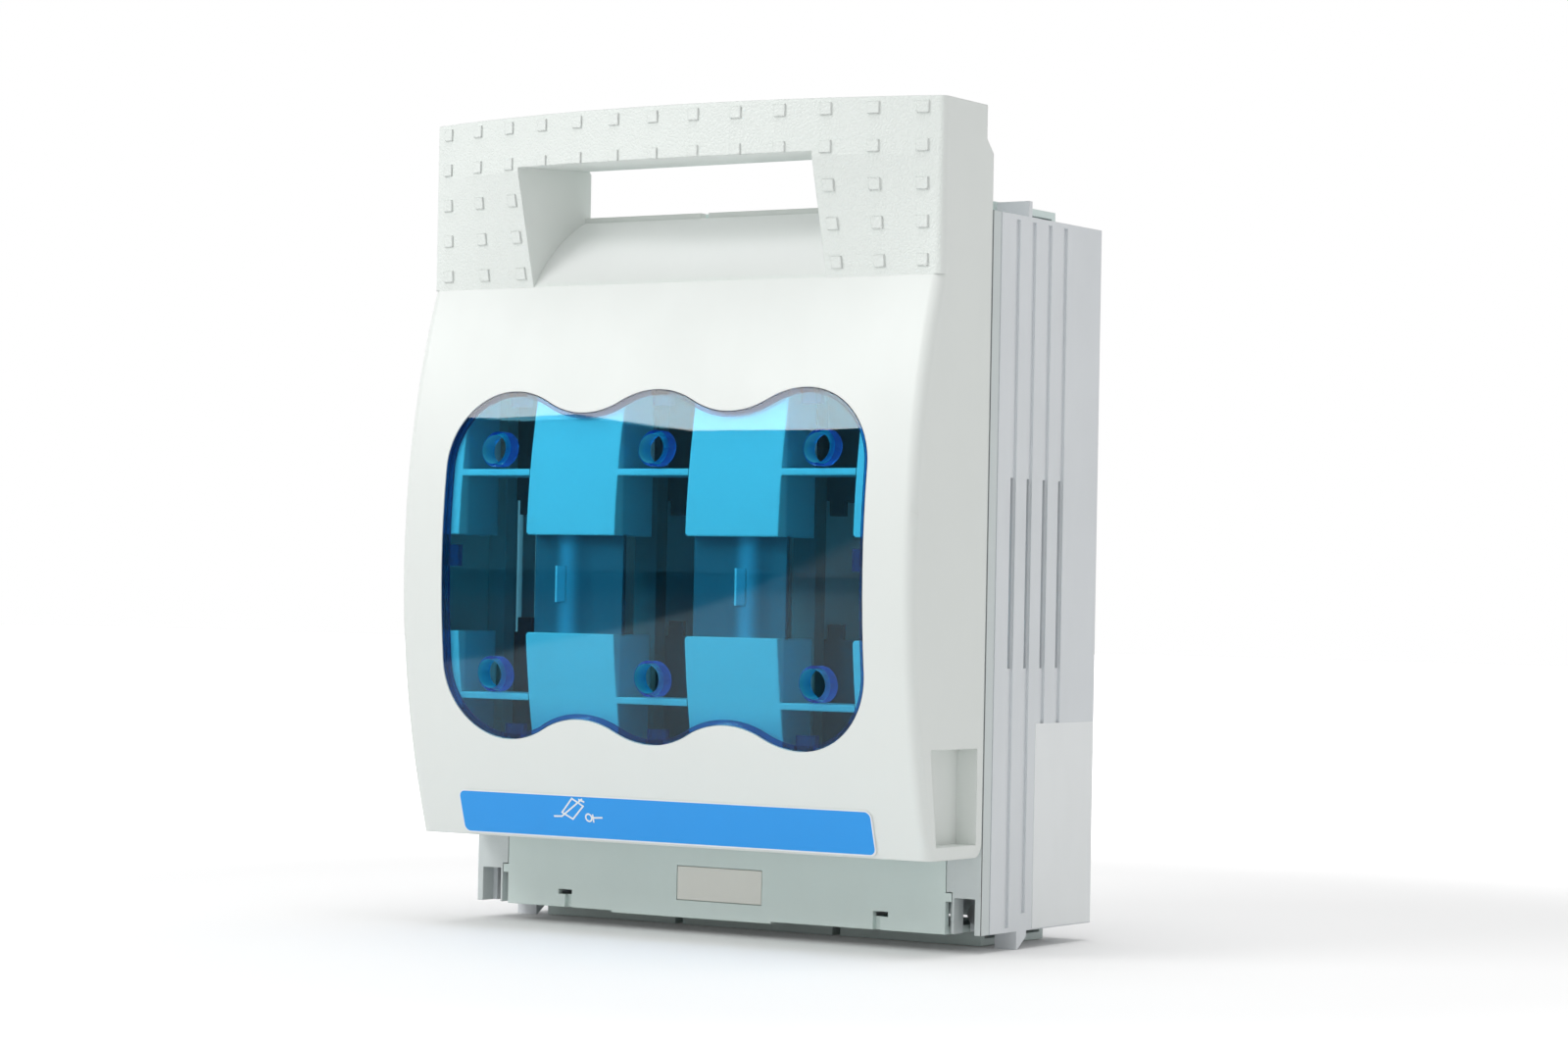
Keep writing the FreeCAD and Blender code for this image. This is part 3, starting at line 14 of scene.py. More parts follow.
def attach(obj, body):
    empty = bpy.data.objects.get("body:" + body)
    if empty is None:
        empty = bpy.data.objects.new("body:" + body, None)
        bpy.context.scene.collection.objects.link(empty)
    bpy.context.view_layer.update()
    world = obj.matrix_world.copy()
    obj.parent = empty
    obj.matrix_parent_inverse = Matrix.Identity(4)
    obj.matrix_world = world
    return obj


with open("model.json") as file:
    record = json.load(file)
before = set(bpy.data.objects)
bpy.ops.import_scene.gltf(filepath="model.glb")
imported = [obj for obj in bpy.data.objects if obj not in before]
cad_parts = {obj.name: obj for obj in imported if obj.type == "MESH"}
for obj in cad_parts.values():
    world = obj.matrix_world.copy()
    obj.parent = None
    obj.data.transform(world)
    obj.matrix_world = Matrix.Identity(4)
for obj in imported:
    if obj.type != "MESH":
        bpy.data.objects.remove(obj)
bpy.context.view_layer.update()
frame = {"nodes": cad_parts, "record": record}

LOG = logging.getLogger("fuse_switch_scene")

MM = 0.001
# Sizes of the CAD model that several pieces share, in mm
BASE_HALF_HEIGHT = 106.3
LID_CROWN_DEPTH = 110.7
LID_CROWN_HEIGHT = 107.0
LID_RADIUS = 264.0

Colour = tuple[float, float, float]
Place = tuple[float, float, float]
Pair = tuple[float, float]
Face = tuple[int, ...]
Tree = bpy.types.NodeTree
Socket = bpy.types.NodeSocket
Inputs = bpy.types.NodeInputs
Outputs = bpy.types.NodeOutputs
Input = Union[Socket, float, int, Sequence[float]]


def level(height: float) -> float:
    """Turn a height above the base's lower edge, in mm, into the model's Z, in metres."""
    return (height - BASE_HALF_HEIGHT) * MM


def drum_points(x: np.ndarray, height: np.ndarray, proud: np.ndarray) -> np.ndarray:
    """Lay points on the bowed front of the lid.

    The front is a drum with its axis along X. A point of the drum is as deep as the axis plus the
    root of the radius squared less the square of its height above the axis. It is then moved away
    from the axis by the distance that it stands proud.

    Args:
        x: Millimetres to the right of the middle.
        height: Millimetres above the base's lower edge.
        proud: Millimetres in front of the drum.

    Returns:
        The points in metres, one row each.
    """
    axis_depth = LID_CROWN_DEPTH - LID_RADIUS
    rise = height - LID_CROWN_HEIGHT
    lift = (LID_RADIUS + proud) / LID_RADIUS
    depth = axis_depth + np.sqrt(LID_RADIUS ** 2 - rise ** 2) * lift
    return np.stack([x, -depth, LID_CROWN_HEIGHT + rise * lift - BASE_HALF_HEIGHT], axis=-1) * MM


def carried_faces(rings: int, points: int, closed: bool) -> list[Face]:
    """Faces of a closed profile that is carried along a path.

    The points are numbered ring by ring. Each side of a ring and the same side of the next one are
    joined by one face. A path that doesn't run back to its start is closed by a cap at each end.

    Args:
        rings: Number of places along the path.
        points: Number of points in the profile.
        closed: Whether the path runs back to its start.

    Returns:
        The numbers of each face's points.
    """
    index = np.arange(rings * points).reshape(rings, points)
    here = index if closed else index[:-1]
    there = np.roll(index, -1, axis=0)[:len(here)]
    sides = np.stack([here, np.roll(here, -1, axis=1), np.roll(there, -1, axis=1), there], axis=-1)
    faces = [tuple(face) for face in sides.reshape(-1, 4).tolist()]
    if not closed:
        faces += [tuple(index[0][::-1].tolist()), tuple(index[-1].tolist())]
    return faces


def add_piece(name: str, vertices: np.ndarray, faces: list[Face],
              material: bpy.types.Material) -> bpy.types.Object:
    """Put a closed piece in the scene, with its faces outwards.

    Args:
        name: Name of the piece.
        vertices: Its points in metres, one row each.
        faces: The numbers of each face's points.
        material: Its material.

    Returns:
        The piece.
    """
    mesh = bpy.data.meshes.new(name)
    mesh.from_pydata(vertices.tolist(), [], faces)
    mesh.validate()
    edit = bmesh.new()
    edit.from_mesh(mesh)
    bmesh.ops.recalc_face_normals(edit, faces=edit.faces[:])
    edit.to_mesh(mesh)
    edit.free()
    mesh.materials.append(material)
    piece = bpy.data.objects.new(name, mesh)
    bpy.context.collection.objects.link(piece)
    LOG.info("built %s, %d faces", name, len(mesh.polygons))
    return piece


class Kind(Enum):
    """Kinds of sockets on a node group."""

    NUMBER = "NodeSocketFloat"
    COLOUR = "NodeSocketColor"
    VECTOR = "NodeSocketVector"


class Grain(Enum):
    """How the skin of a moulding or metal is broken up."""

    SATIN = "satin"
    LEATHER = "leather"
    SANDBLAST = "sandblast"
    DRAWN = "drawn"


@dataclass(frozen=True)
class Nodes:
    """Short calls for building one node tree.

    Attributes:
        tree: The tree that the calls add to.
    """

    tree: Tree

    def add(self, kind: str, inputs: Optional[dict[str, Input]] = None,
            **settings: object) -> bpy.types.Node:
        """Add a node.

        Args:
            kind: Blender's name for the node type.
            inputs: Sockets or values for the node's inputs, by name.
            settings: Attributes of the node.

        Returns:
            The new node.
        """
        node = self.tree.nodes.new(kind)
        for name, value in settings.items():
            setattr(node, name, value)
        for name, value in (inputs or {}).items():
            self.feed(value, node.inputs[name])
        return node

    def add_fed(self, kind: str, *values: Input, **settings: object) -> bpy.types.Node:
        """Add a node with its first inputs given in order.

        Args:
            kind: Blender's name for the node type.
            values: Sockets or values for the inputs.
            settings: Attributes of the node.

        Returns:
            The new node.
        """
        node = self.add(kind, **settings)
        for value, target in zip(values, node.inputs):
            self.feed(value, target)
        return node

    def feed(self, value: Input, target: Socket) -> None:
        """Link a socket to an input, or set the input to a value.

        Args:
            value: A socket, a number or a colour.
            target: The input socket.
        """
        if isinstance(value, bpy.types.NodeSocket):
            self.tree.links.new(value, target)
        elif target.type == "RGBA" and len(value) == 3:
            target.default_value = (*value, 1.0)
        else:
            target.default_value = value

    def math(self, operation: str, *values: Input) -> Socket:
        """Result of a math node on the values."""
        return self.add_fed("ShaderNodeMath", *values, operation=operation).outputs[0]

    def vector(self, operation: str, *values: Input, result: str = "Vector") -> Socket:
        """The named result of a vector math node on the values."""
        return self.add_fed("ShaderNodeVectorMath", *values, operation=operation).outputs[result]

    def times(self, first: Input, *others: Input) -> Socket:
        """Multiply values.

        Args:
            first: The first of them.
            others: The others.

        Returns:
            Their product.
        """
        for other in others:
            first = self.math("MULTIPLY", first, other)
        return first

    def away(self, value: Socket, middle: float = 0.0) -> Socket:
        """How far a value is from a middle, to either side."""
        return self.math("ABSOLUTE", self.math("SUBTRACT", value, middle))

    def past_heights(self, z: Socket, ends: Pair, margin: float = 0.0) -> Socket:
        """How far Z is past a stretch between two heights, up or down.

        Args:
            z: Z in metres.
            ends: The two heights above the base's lower edge, in mm.
            margin: How far inside its ends the stretch is measured from, in metres.

        Returns:
            The distance in metres, below zero inside the stretch.
        """
        half = (ends[1] - ends[0]) / 2 * MM - margin
        return self.math("SUBTRACT", self.away(z, level((ends[0] + ends[1]) / 2)), half)

    def length(self, x: Input, y: Input) -> Socket:
        """Length of the line across X and up Y."""
        line = self.add("ShaderNodeCombineXYZ", {"X": x, "Y": y}).outputs["Vector"]
        return self.vector("LENGTH", line, result="Value")

    def corner_length(self, x: Socket, y: Socket) -> Socket:
        """The same for the parts of X and Y that are above zero."""
        return self.length(self.math("MAXIMUM", x, 0.0), self.math("MAXIMUM", y, 0.0))

    def mix(self, factor: Input, first: Input, second: Input) -> Socket:
        """Mix two colours.

        Args:
            factor: 0 for the first, 1 for the second.
            first: Colour at 0.
            second: Colour at 1.

        Returns:
            The mixed colour.
        """
        node = self.add("ShaderNodeMix", data_type="RGBA")
        factor_input, first_input, second_input, colour_output = 0, 6, 7, 2
        self.feed(factor, node.inputs[factor_input])
        self.feed(first, node.inputs[first_input])
        self.feed(second, node.inputs[second_input])
        return node.outputs[colour_output]

    def ramp(self, value: Input, low: float, high: float, to_low: float = 0.0,
             to_high: float = 1.0) -> Socket:
        """Map a value smoothly from one range to another, and keep it there.

        Args:
            value: The value.
            low: Where the first range starts.
            high: Where the first range ends.
            to_low: Result at the start.
            to_high: Result at the end.

        Returns:
            The mapped value.
        """
        node = self.add("ShaderNodeMapRange", {"Value": value, "From Min": low, "From Max": high,
                                               "To Min": to_low, "To Max": to_high},
                        interpolation_type="SMOOTHSTEP")
        return node.outputs["Result"]

    def ramp_mm(self, value: Input, ends: Pair) -> Socket:
        """Map a length in metres smoothly to 0 at the first end and 1 at the second, both in mm."""
        return self.ramp(value, ends[0] * MM, ends[1] * MM)

    def ramp_height(self, z: Input, ends: Pair) -> Socket:
        """The same for Z and two heights above the base's lower edge."""
        return self.ramp(z, level(ends[0]), level(ends[1]))

    def noise(self, where: Socket, scale: float, detail: float, roughness: float = 0.5,
              result: str = "Fac") -> Socket:
        """Add a noise texture.

        Args:
            where: The place.
            scale: Waves in a metre.
            detail: Number of finer waves laid over them.
            roughness: How strong the finer waves are.
            result: The output's name, Fac for a value or Color for a triple.

        Returns:
            The noise.
        """
        return self.add("ShaderNodeTexNoise", {"Vector": where, "Scale": scale, "Detail": detail,
                                               "Roughness": roughness}).outputs[result]

    def split(self, value: Socket) -> tuple[Socket, Socket, Socket]:
        """Take a vector apart into X, Y and Z."""
        outputs = self.add("ShaderNodeSeparateXYZ", {"Vector": value}).outputs
        return outputs[0], outputs[1], outputs[2]

    def where(self) -> Socket:
        """The object coordinates of the shaded point."""
        return self.add("ShaderNodeTexCoord").outputs["Object"]

    def normal(self) -> Socket:
        """The direction that the shaded face points in."""
        return self.add("ShaderNodeNewGeometry").outputs["True Normal"]


def new_material(name: str) -> tuple[bpy.types.Material, Nodes, bpy.types.Node]:
    """Make a material.

    Args:
        name: Its name.

    Returns:
        The material, the calls for its tree, and its Principled BSDF.
    """
    material = bpy.data.materials.new(name)
    material.use_nodes = True
    return material, Nodes(material.node_tree), material.node_tree.nodes["Principled BSDF"]


def dress(material: bpy.types.Material, slot: str) -> None:
    """Give a material to the CAD nodes that have a slot in the record.

    Args:
        material: The material.
        slot: The record's name for the slot.
    """
    for entry in frame["record"]["subparts"]:
        if entry["material_slot"] != slot:
            continue
        item = frame["nodes"][entry["node"]]
        for place in item.material_slots:
            place.material = material
        if not item.material_slots:
            item.data.materials.append(material)
        LOG.info("dressed %s in %s", entry["node"], material.name)


class Effects:
    """Shader node groups that several finishes share, each built once.

    Attributes:
        mottle: Clouds in the colour and the roughness.
        grains: The skins, by kind.
        edges: Softened corners.
    """

    def __init__(self) -> None:
        """Build the groups."""
        self.mottle = self._mottle()
        self.grains = {kind: self._grain(kind) for kind in Grain}
        self.edges = self._edges()

    @staticmethod
    def _group(name: str, inputs: dict[str, Kind],
               outputs: dict[str, Kind]) -> tuple[Nodes, Outputs, Inputs]:
        """Start a node group.

        Args:
            name: Name of the group.
            inputs: Kind of each input.
            outputs: Kind of each output.

        Returns:
            The calls for its tree, the sockets of its inputs and those of its outputs.
        """
        tree = bpy.data.node_groups.new(name, "ShaderNodeTree")
        for way, sockets in (("INPUT", inputs), ("OUTPUT", outputs)):
            for label, kind in sockets.items():
                tree.interface.new_socket(name=label, in_out=way, socket_type=kind.value)
        nodes = Nodes(tree)
        return nodes, nodes.add("NodeGroupInput").outputs, nodes.add("NodeGroupOutput").inputs

    def _mottle(self) -> Tree:
        """Build clouds and upright smears that darken the colour and shift the roughness a little.

        Returns:
            The group.
        """
        nodes, given, result = self._group(
            "slow_mottle", {"Vector": Kind.VECTOR, "Colour": Kind.COLOUR, "Strength": Kind.NUMBER,
                            "Roughness": Kind.NUMBER, "Spread": Kind.NUMBER},
            {"Colour": Kind.COLOUR, "Roughness": Kind.NUMBER})
        cloud_share, cloud_range = 0.6, (0.3, 0.7)
        smear_share, smear_range = 0.4, (0.35, 0.65)
        tall, mean = (1.0, 1.0, 0.35), 0.5
        stretched = nodes.vector("MULTIPLY", given["Vector"], tall)
        clouds = nodes.ramp(nodes.noise(given["Vector"], scale=24.0, detail=4.0), *cloud_range)
        smears = nodes.ramp(nodes.noise(stretched, scale=90.0, detail=5.0, roughness=0.6), *smear_range)
        both = nodes.math("MULTIPLY_ADD", clouds, cloud_share, nodes.times(smears, smear_share))
        shade = nodes.math("SUBTRACT", 1.0, nodes.times(both, given["Strength"]))
        shaded = nodes.add("ShaderNodeVectorMath", {"Vector": given["Colour"], "Scale": shade},
                           operation="SCALE")
        nodes.feed(shaded.outputs["Vector"], result["Colour"])
        shift = nodes.times(nodes.math("SUBTRACT", both, mean), given["Spread"])
        nodes.feed(nodes.math("ADD", given["Roughness"], shift), result["Roughness"])
        return nodes.tree

    def _grain(self, kind: Grain) -> Tree:
        """Build the group that turns a place into the height of a skin.

        Args:
            kind: Kind of skin.

        Returns:
            The group.
        """
        skins = {Grain.SATIN: self._satin, Grain.LEATHER: self._leather,
                 Grain.SANDBLAST: self._sandblast, Grain.DRAWN: self._drawn}
        nodes, given, result = self._group(f"{kind.value}_grain", {"Vector": Kind.VECTOR},
                                           {"Height": Kind.NUMBER})
        nodes.feed(skins[kind](nodes, given["Vector"]), result["Height"])
        return nodes.tree

    @staticmethod
    def _satin(nodes: Nodes, where: Socket) -> Socket:
        """Spark-eroded mould skin: fine even noise."""
        return nodes.noise(where, scale=1500.0, detail=2.0)

    @staticmethod
    def _leather(nodes: Nodes, where: Socket) -> Socket:
        """Leather-like pebbles of about a millimetre with rounded creases between them.

        Args:
            nodes: Calls for the group's tree.
            where: The place.

        Returns:
            The height.
        """
        crease_width, fine_share = 0.28, 0.35
        bend = (0.0009, 0.0009, 0.0009)
        waves = nodes.noise(where, scale=500.0, detail=2.0, result="Color")
        bent = nodes.vector("MULTIPLY_ADD", waves, bend, where)
        cells = nodes.add("ShaderNodeTexVoronoi", {"Vector": bent, "Scale": 850.0},
                          feature="DISTANCE_TO_EDGE")
        pebbles = nodes.ramp(cells.outputs["Distance"], 0.0, crease_width)
        fine = nodes.noise(where, scale=2200.0, detail=2.0)
        return nodes.math("MULTIPLY_ADD", fine, fine_share, pebbles)

    @staticmethod
    def _sandblast(nodes: Nodes, where: Socket) -> Socket:
        """Coarse blasted skin: two sizes of noise.

        Args:
            nodes: Calls for the group's tree.
            where: The place.

        Returns:
            The height.
        """
        fine_share = 0.4
        coarse = nodes.noise(where, scale=650.0, detail=3.0, roughness=0.65)
        fine = nodes.add("ShaderNodeTexVoronoi", {"Vector": where, "Scale": 1300.0})
        return nodes.math("MULTIPLY_ADD", fine.outputs["Distance"], fine_share, coarse)

    @staticmethod
    def _drawn(nodes: Nodes, where: Socket) -> Socket:
        """Fine lines along the bar or sheet, from rolling and drawing."""
        stretched = nodes.vector("MULTIPLY", where, (1.0, 1.0, 0.06))
        return nodes.noise(stretched, scale=2600.0, detail=3.0)

    def _edges(self) -> Tree:
        """Build soft corners: a rounded normal, and a mask that is 1 on the corner.

        The mask grows as the cosine between the rounded normal and the face's own one falls.

        Returns:
            The group.
        """
        nodes, given, result = self._group("soft_edges", {"Radius": Kind.NUMBER},
                                           {"Normal": Kind.VECTOR, "Mask": Kind.NUMBER})
        flat_cosine, corner_cosine = 0.995, 0.80
        rounded = nodes.add("ShaderNodeBevel", {"Radius": given["Radius"]}, samples=4).outputs["Normal"]
        turn = nodes.vector("DOT_PRODUCT", rounded, nodes.normal(), result="Value")
        nodes.feed(rounded, result["Normal"])
        nodes.feed(nodes.ramp(turn, flat_cosine, corner_cosine), result["Mask"])
        return nodes.tree


@dataclass(frozen=True)
class Finish:
    """How one opaque material looks.

    Attributes:
        name: Name of the material, which is the record's slot on CAD nodes.
        colour: Base colour, linear.
        roughness: Mean roughness.
        metallic: 0 for plastic, 1 for metal.
        grain: Kind of skin.
        relief: Height of the skin, in metres.
        mottle: How much the clouds darken the colour.
        spread: How far the clouds shift the roughness.
        edge: Radius of the softened corners, in metres.
        edge_highlight_gain: How much lighter a corner is painted than the face beside it, as a painted
            highlight.
        specular: Strength of the surface's own reflection, 0.5 for common plastics.
        lightest: The most that each channel of a corner's painted highlight may be.
    """

    name: str
    colour: Colour
    roughness: float = 0.42
    metallic: float = 0.0
    grain: Grain = Grain.SATIN
    relief: float = 0.00001
    mottle: float = 0.03
    spread: float = 0.08
    edge: float = 0.0004
    edge_highlight_gain: float = 0.06
    specular: float = 0.5
    lightest: float = 0.95

    def build(self, effects: Effects) -> "Surface":
        """Make the material.

        Args:
            effects: The shared node groups.

        Returns:
            The material with the sockets that later changes start from.
        """
        material, nodes, shader = new_material(self.name)
        shader.inputs["Metallic"].default_value = self.metallic
        shader.inputs["Specular IOR Level"].default_value = self.specular
        where = nodes.where()
        mottle = nodes.add("ShaderNodeGroup", {"Vector": where, "Colour": self.colour,
                                               "Strength": self.mottle, "Roughness": self.roughness,
                                               "Spread": self.spread}, node_tree=effects.mottle)
        edges = nodes.add("ShaderNodeGroup", {"Radius": self.edge}, node_tree=effects.edges)
        # Painted highlight: corners get a lighter colour than the faces beside them.
        lighter = tuple(min(channel * (1.0 + self.edge_highlight_gain), self.lightest) for channel in self.colour)
        nodes.feed(mottle.outputs["Roughness"], shader.inputs["Roughness"])
        made = Surface(material, nodes, shader, where, mottle.outputs["Colour"], edges.outputs["Normal"])
        made.recolour(edges.outputs["Mask"], lighter)
        made.emboss(made.skin(effects, self.grain), self.relief)
        return made


@dataclass
class Surface:
    """A material with the sockets that later changes start from.

    Attributes:
        material: The material.
        nodes: Calls for its node tree.
        shader: Its Principled BSDF.
        where: Object coordinates.
        colour: The colour that feeds the shader.
        normal: The normal that feeds it.
    """

    material: bpy.types.Material
    nodes: Nodes
    shader: bpy.types.Node
    where: Socket
    colour: Socket
    normal: Socket

    def skin(self, effects: Effects, grain: Grain) -> Socket:
        """Height of a kind of skin on this surface."""
        group = self.nodes.add("ShaderNodeGroup", {"Vector": self.where}, node_tree=effects.grains[grain])
        return group.outputs["Height"]

    def recolour(self, mask: Input, colour: Input) -> None:
        """Lay another colour over the present one.

        Args:
            mask: Where the new colour shows.
            colour: The new colour.
        """
        self.colour = self.nodes.mix(mask, self.colour, colour)
        self.nodes.feed(self.colour, self.shader.inputs["Base Color"])

    def emboss(self, height: Input, distance: float) -> None:
        """Raise the surface over the present normal.

        Args:
            height: Height from 0 to 1.
            distance: What a height of 1 stands for, in metres.
        """
        self.normal = self.nodes.add("ShaderNodeBump", {"Height": height, "Distance": distance,
                                                        "Normal": self.normal}).outputs["Normal"]
        self.nodes.feed(self.normal, self.shader.inputs["Normal"])


@dataclass
class Lid:
    """The white lid with its handle, its blue band and the symbol printed on the band.

    Lengths are in mm. Heights are above the base's lower edge, and Y falls towards the front. Two
    numbers are the ends between which a look starts, the first without it and the second with it.

    Attributes:
        effects: The shared node groups.
        shell: Finish of the lid.
        band: Finish of the band.
        print_white: Finish of the print on the band.
        handle_colour: Colour of the handle's front.
        handle_start: Heights between which the handle's skin starts.
        handle_y: Y at which it starts.
        handle_facing: Y of the face's direction at which it starts.
        leather_relief: Height of the handle's skin, in metres.
        scoop_painted_light: Painted light: a lighter colour on the upward faces of the scoop behind the
            grip.
        scoop_start: Heights between which the scoop's painted light starts.
        scoop_end: Heights between which it ends, from above.
        scoop_rising: Z of the face's direction at which it starts.
        band_half: Half the width of the band's white border.
        band_edges: Heights of the border's lower and upper edges.
        band_corner: Corner radius of the border.
        border: Distances inside its edge between which the border's line starts, from within.
        stroke: Width of the symbol's lines.
        contact: X and height of the symbol's round contact.
        contact_radius: Radius of the round contact.
        contact_points: Number of points on it.
        proud: How far the back and the front of the lines stand in front of the lid's drum.
    """

    effects: Effects
    shell: Finish = Finish("lid_white", (0.795, 0.83, 0.805), 0.38, relief=0.000008, mottle=0.012,
                           edge=0.0006, edge_highlight_gain=0.05, specular=0.28)
    band: Finish = Finish("label_blue", (0.02, 0.34, 0.88), 0.34, relief=0.000004, mottle=0.02,
                          edge=0.0002)
    print_white: Finish = Finish("print_white", (0.85, 0.87, 0.88), 0.4, relief=0.000004, edge=0.00005)
    handle_colour: Colour = (0.82, 0.865, 0.835)
    handle_start: Pair = (191.2, 191.8)
    handle_y: Pair = (-95.5, -96.5)
    handle_facing: Pair = (-0.55, -0.75)
    leather_relief: float = 0.00007
    scoop_painted_light: Colour = (0.92, 0.94, 0.93)
    scoop_start: Pair = (187.5, 203.5)
    scoop_end: Pair = (233.3, 232.3)
    scoop_rising: Pair = (0.25, 0.5)
    band_half: float = 74.6
    band_edges: Pair = (23.6, 37.0)
    band_corner: float = 2.4
    border: Pair = (0.5, 0.4)
    stroke: float = 0.5
    contact: Pair = (-26.2, 30.4)
    contact_radius: float = 1.1
    contact_points: int = 32
    proud: Pair = (0.36, 0.45)

    def build(self) -> None:
        """Dress the lid's nodes and lay the symbol on the band."""
        dress(self._shell_material(), "lid_white")
        dress(self._band_material(), "label_blue")
        self._symbol()

    def _shell_material(self) -> bpy.types.Material:
        """Make the white satin moulding, with a leathery skin on the front of the handle.

        Returns:
            The material.
        """
        made = self.shell.build(self.effects)
        nodes = made.nodes
        _, y, z = nodes.split(made.where)
        _, facing, rising = nodes.split(nodes.normal())
        # Painted light: upward faces of the scoop behind the grip get a lighter colour, where the handle's
        # bar shades them from the lamps.
        scoop_light_mask = nodes.times(nodes.ramp_height(z, self.scoop_start),
                               nodes.ramp(rising, *self.scoop_rising), nodes.ramp_height(z, self.scoop_end))
        on_handle = nodes.times(nodes.ramp_height(z, self.handle_start),
                                nodes.ramp(facing, *self.handle_facing), nodes.ramp_mm(y, self.handle_y))
        made.recolour(scoop_light_mask, self.scoop_painted_light)
        made.recolour(on_handle, self.handle_colour)
        leather = nodes.times(made.skin(self.effects, Grain.LEATHER), on_handle)
        made.emboss(leather, self.leather_relief)
        return made.material

    def _band_material(self) -> bpy.types.Material:
        """Make the blue print with a thin white line along its edge.

        A point's distance inside a box with rounded corners is the corner radius less two lengths:
        that of the positive part of its offset from the corner's centre, and the offset's larger
        part where both parts are negative. The line shows where that distance is small.

        Returns:
            The material.
        """
        made = self.band.build(self.effects)
        nodes = made.nodes
        x, _, z = nodes.split(made.where)
        corner = self.band_corner * MM
        across = nodes.math("SUBTRACT", nodes.away(x), self.band_half * MM - corner)
        upright = nodes.past_heights(z, self.band_edges, corner)
        outside = nodes.corner_length(across, upright)
        inside = nodes.math("MINIMUM", nodes.math("MAXIMUM", across, upright), 0.0)
        inset = nodes.math("SUBTRACT", corner, nodes.math("ADD", outside, inside))
        made.recolour(nodes.ramp_mm(inset, self.border), self.print_white.colour)
        return made.material

    def _stroke(self, path: Sequence[Sequence[float]], closed: bool) -> tuple[np.ndarray, list[Face]]:
        """Work out one printed line on the band.

        Each point of the path is moved to both sides along the mean of the normals of the two runs
        that meet there, by half the stroke's width over the cosine of half the turn, so that corners
        are mitred. The four points low and high at both sides are carried along the path and joined.

        Args:
            path: X and height of the line's points, in mm.
            closed: Whether the line runs back to its first point.

        Returns:
            The vertices in metres, and the faces.
        """
        points = np.array(path, dtype=float)
        ahead = np.roll(points, -1, axis=0) - points
        behind = np.roll(ahead, 1, axis=0)
        if not closed:
            ahead[-1] = ahead[-2]
            behind[0] = ahead[0]
        normals = [run[:, ::-1] * (-1.0, 1.0) / np.linalg.norm(run, axis=1, keepdims=True)
                   for run in (behind, ahead)]
        mean = normals[0] + normals[1]
        mean /= np.linalg.norm(mean, axis=1, keepdims=True)
        reach = self.stroke / 2 / np.sum(mean * normals[1], axis=1, keepdims=True)
        left, right = points + mean * reach, points - mean * reach
        ring = np.stack([left, right, right, left], axis=1)
        proud = np.broadcast_to(np.repeat(self.proud, 2), ring.shape[:2])
        vertices = drum_points(ring[..., 0], ring[..., 1], proud).reshape(-1, 3)
        return vertices, carried_faces(len(points), 4, closed)

    def _symbol(self) -> None:
        """Print the general symbol for a fuse-switch in white lines on the band.

        Its lines are given by X and height. The round contact is its centre plus the radius times
        the cosine and sine of each turn.
        """
        turns = np.linspace(0.0, 2.0 * math.pi, self.contact_points, endpoint=False)
        circle = np.stack([np.cos(turns), np.sin(turns)], axis=1)
        contact = np.array(self.contact) + self.contact_radius * circle
        blade = ((-39.2, 30.3), (-36.2, 30.4), (-27.7, 36.0))
        fuse = ((-35.9, 31.6), (-32.2, 29.7), (-27.7, 33.8), (-31.5, 36.0))
        blade_end = ((-29.1, 35.8), (-27.0, 35.1))
        lead = ((-24.9, 30.4), (-21.1, 30.6))
        bar = ((-24.6, 31.5), (-24.6, 29.0))
        vertices: list[np.ndarray] = []
        faces: list[Face] = []
        for path, closed in ((blade, False), (fuse, True), (blade_end, False), (contact, True),
                             (lead, False), (bar, False)):
            start = sum(len(part) for part in vertices)
            points, sides = self._stroke(path, closed)
            vertices.append(points)
            faces += [tuple(index + start for index in side) for side in sides]
        piece = add_piece("fuse_switch_symbol", np.concatenate(vertices), faces,
                          self.print_white.build(self.effects).material)
        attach(piece, "lid")


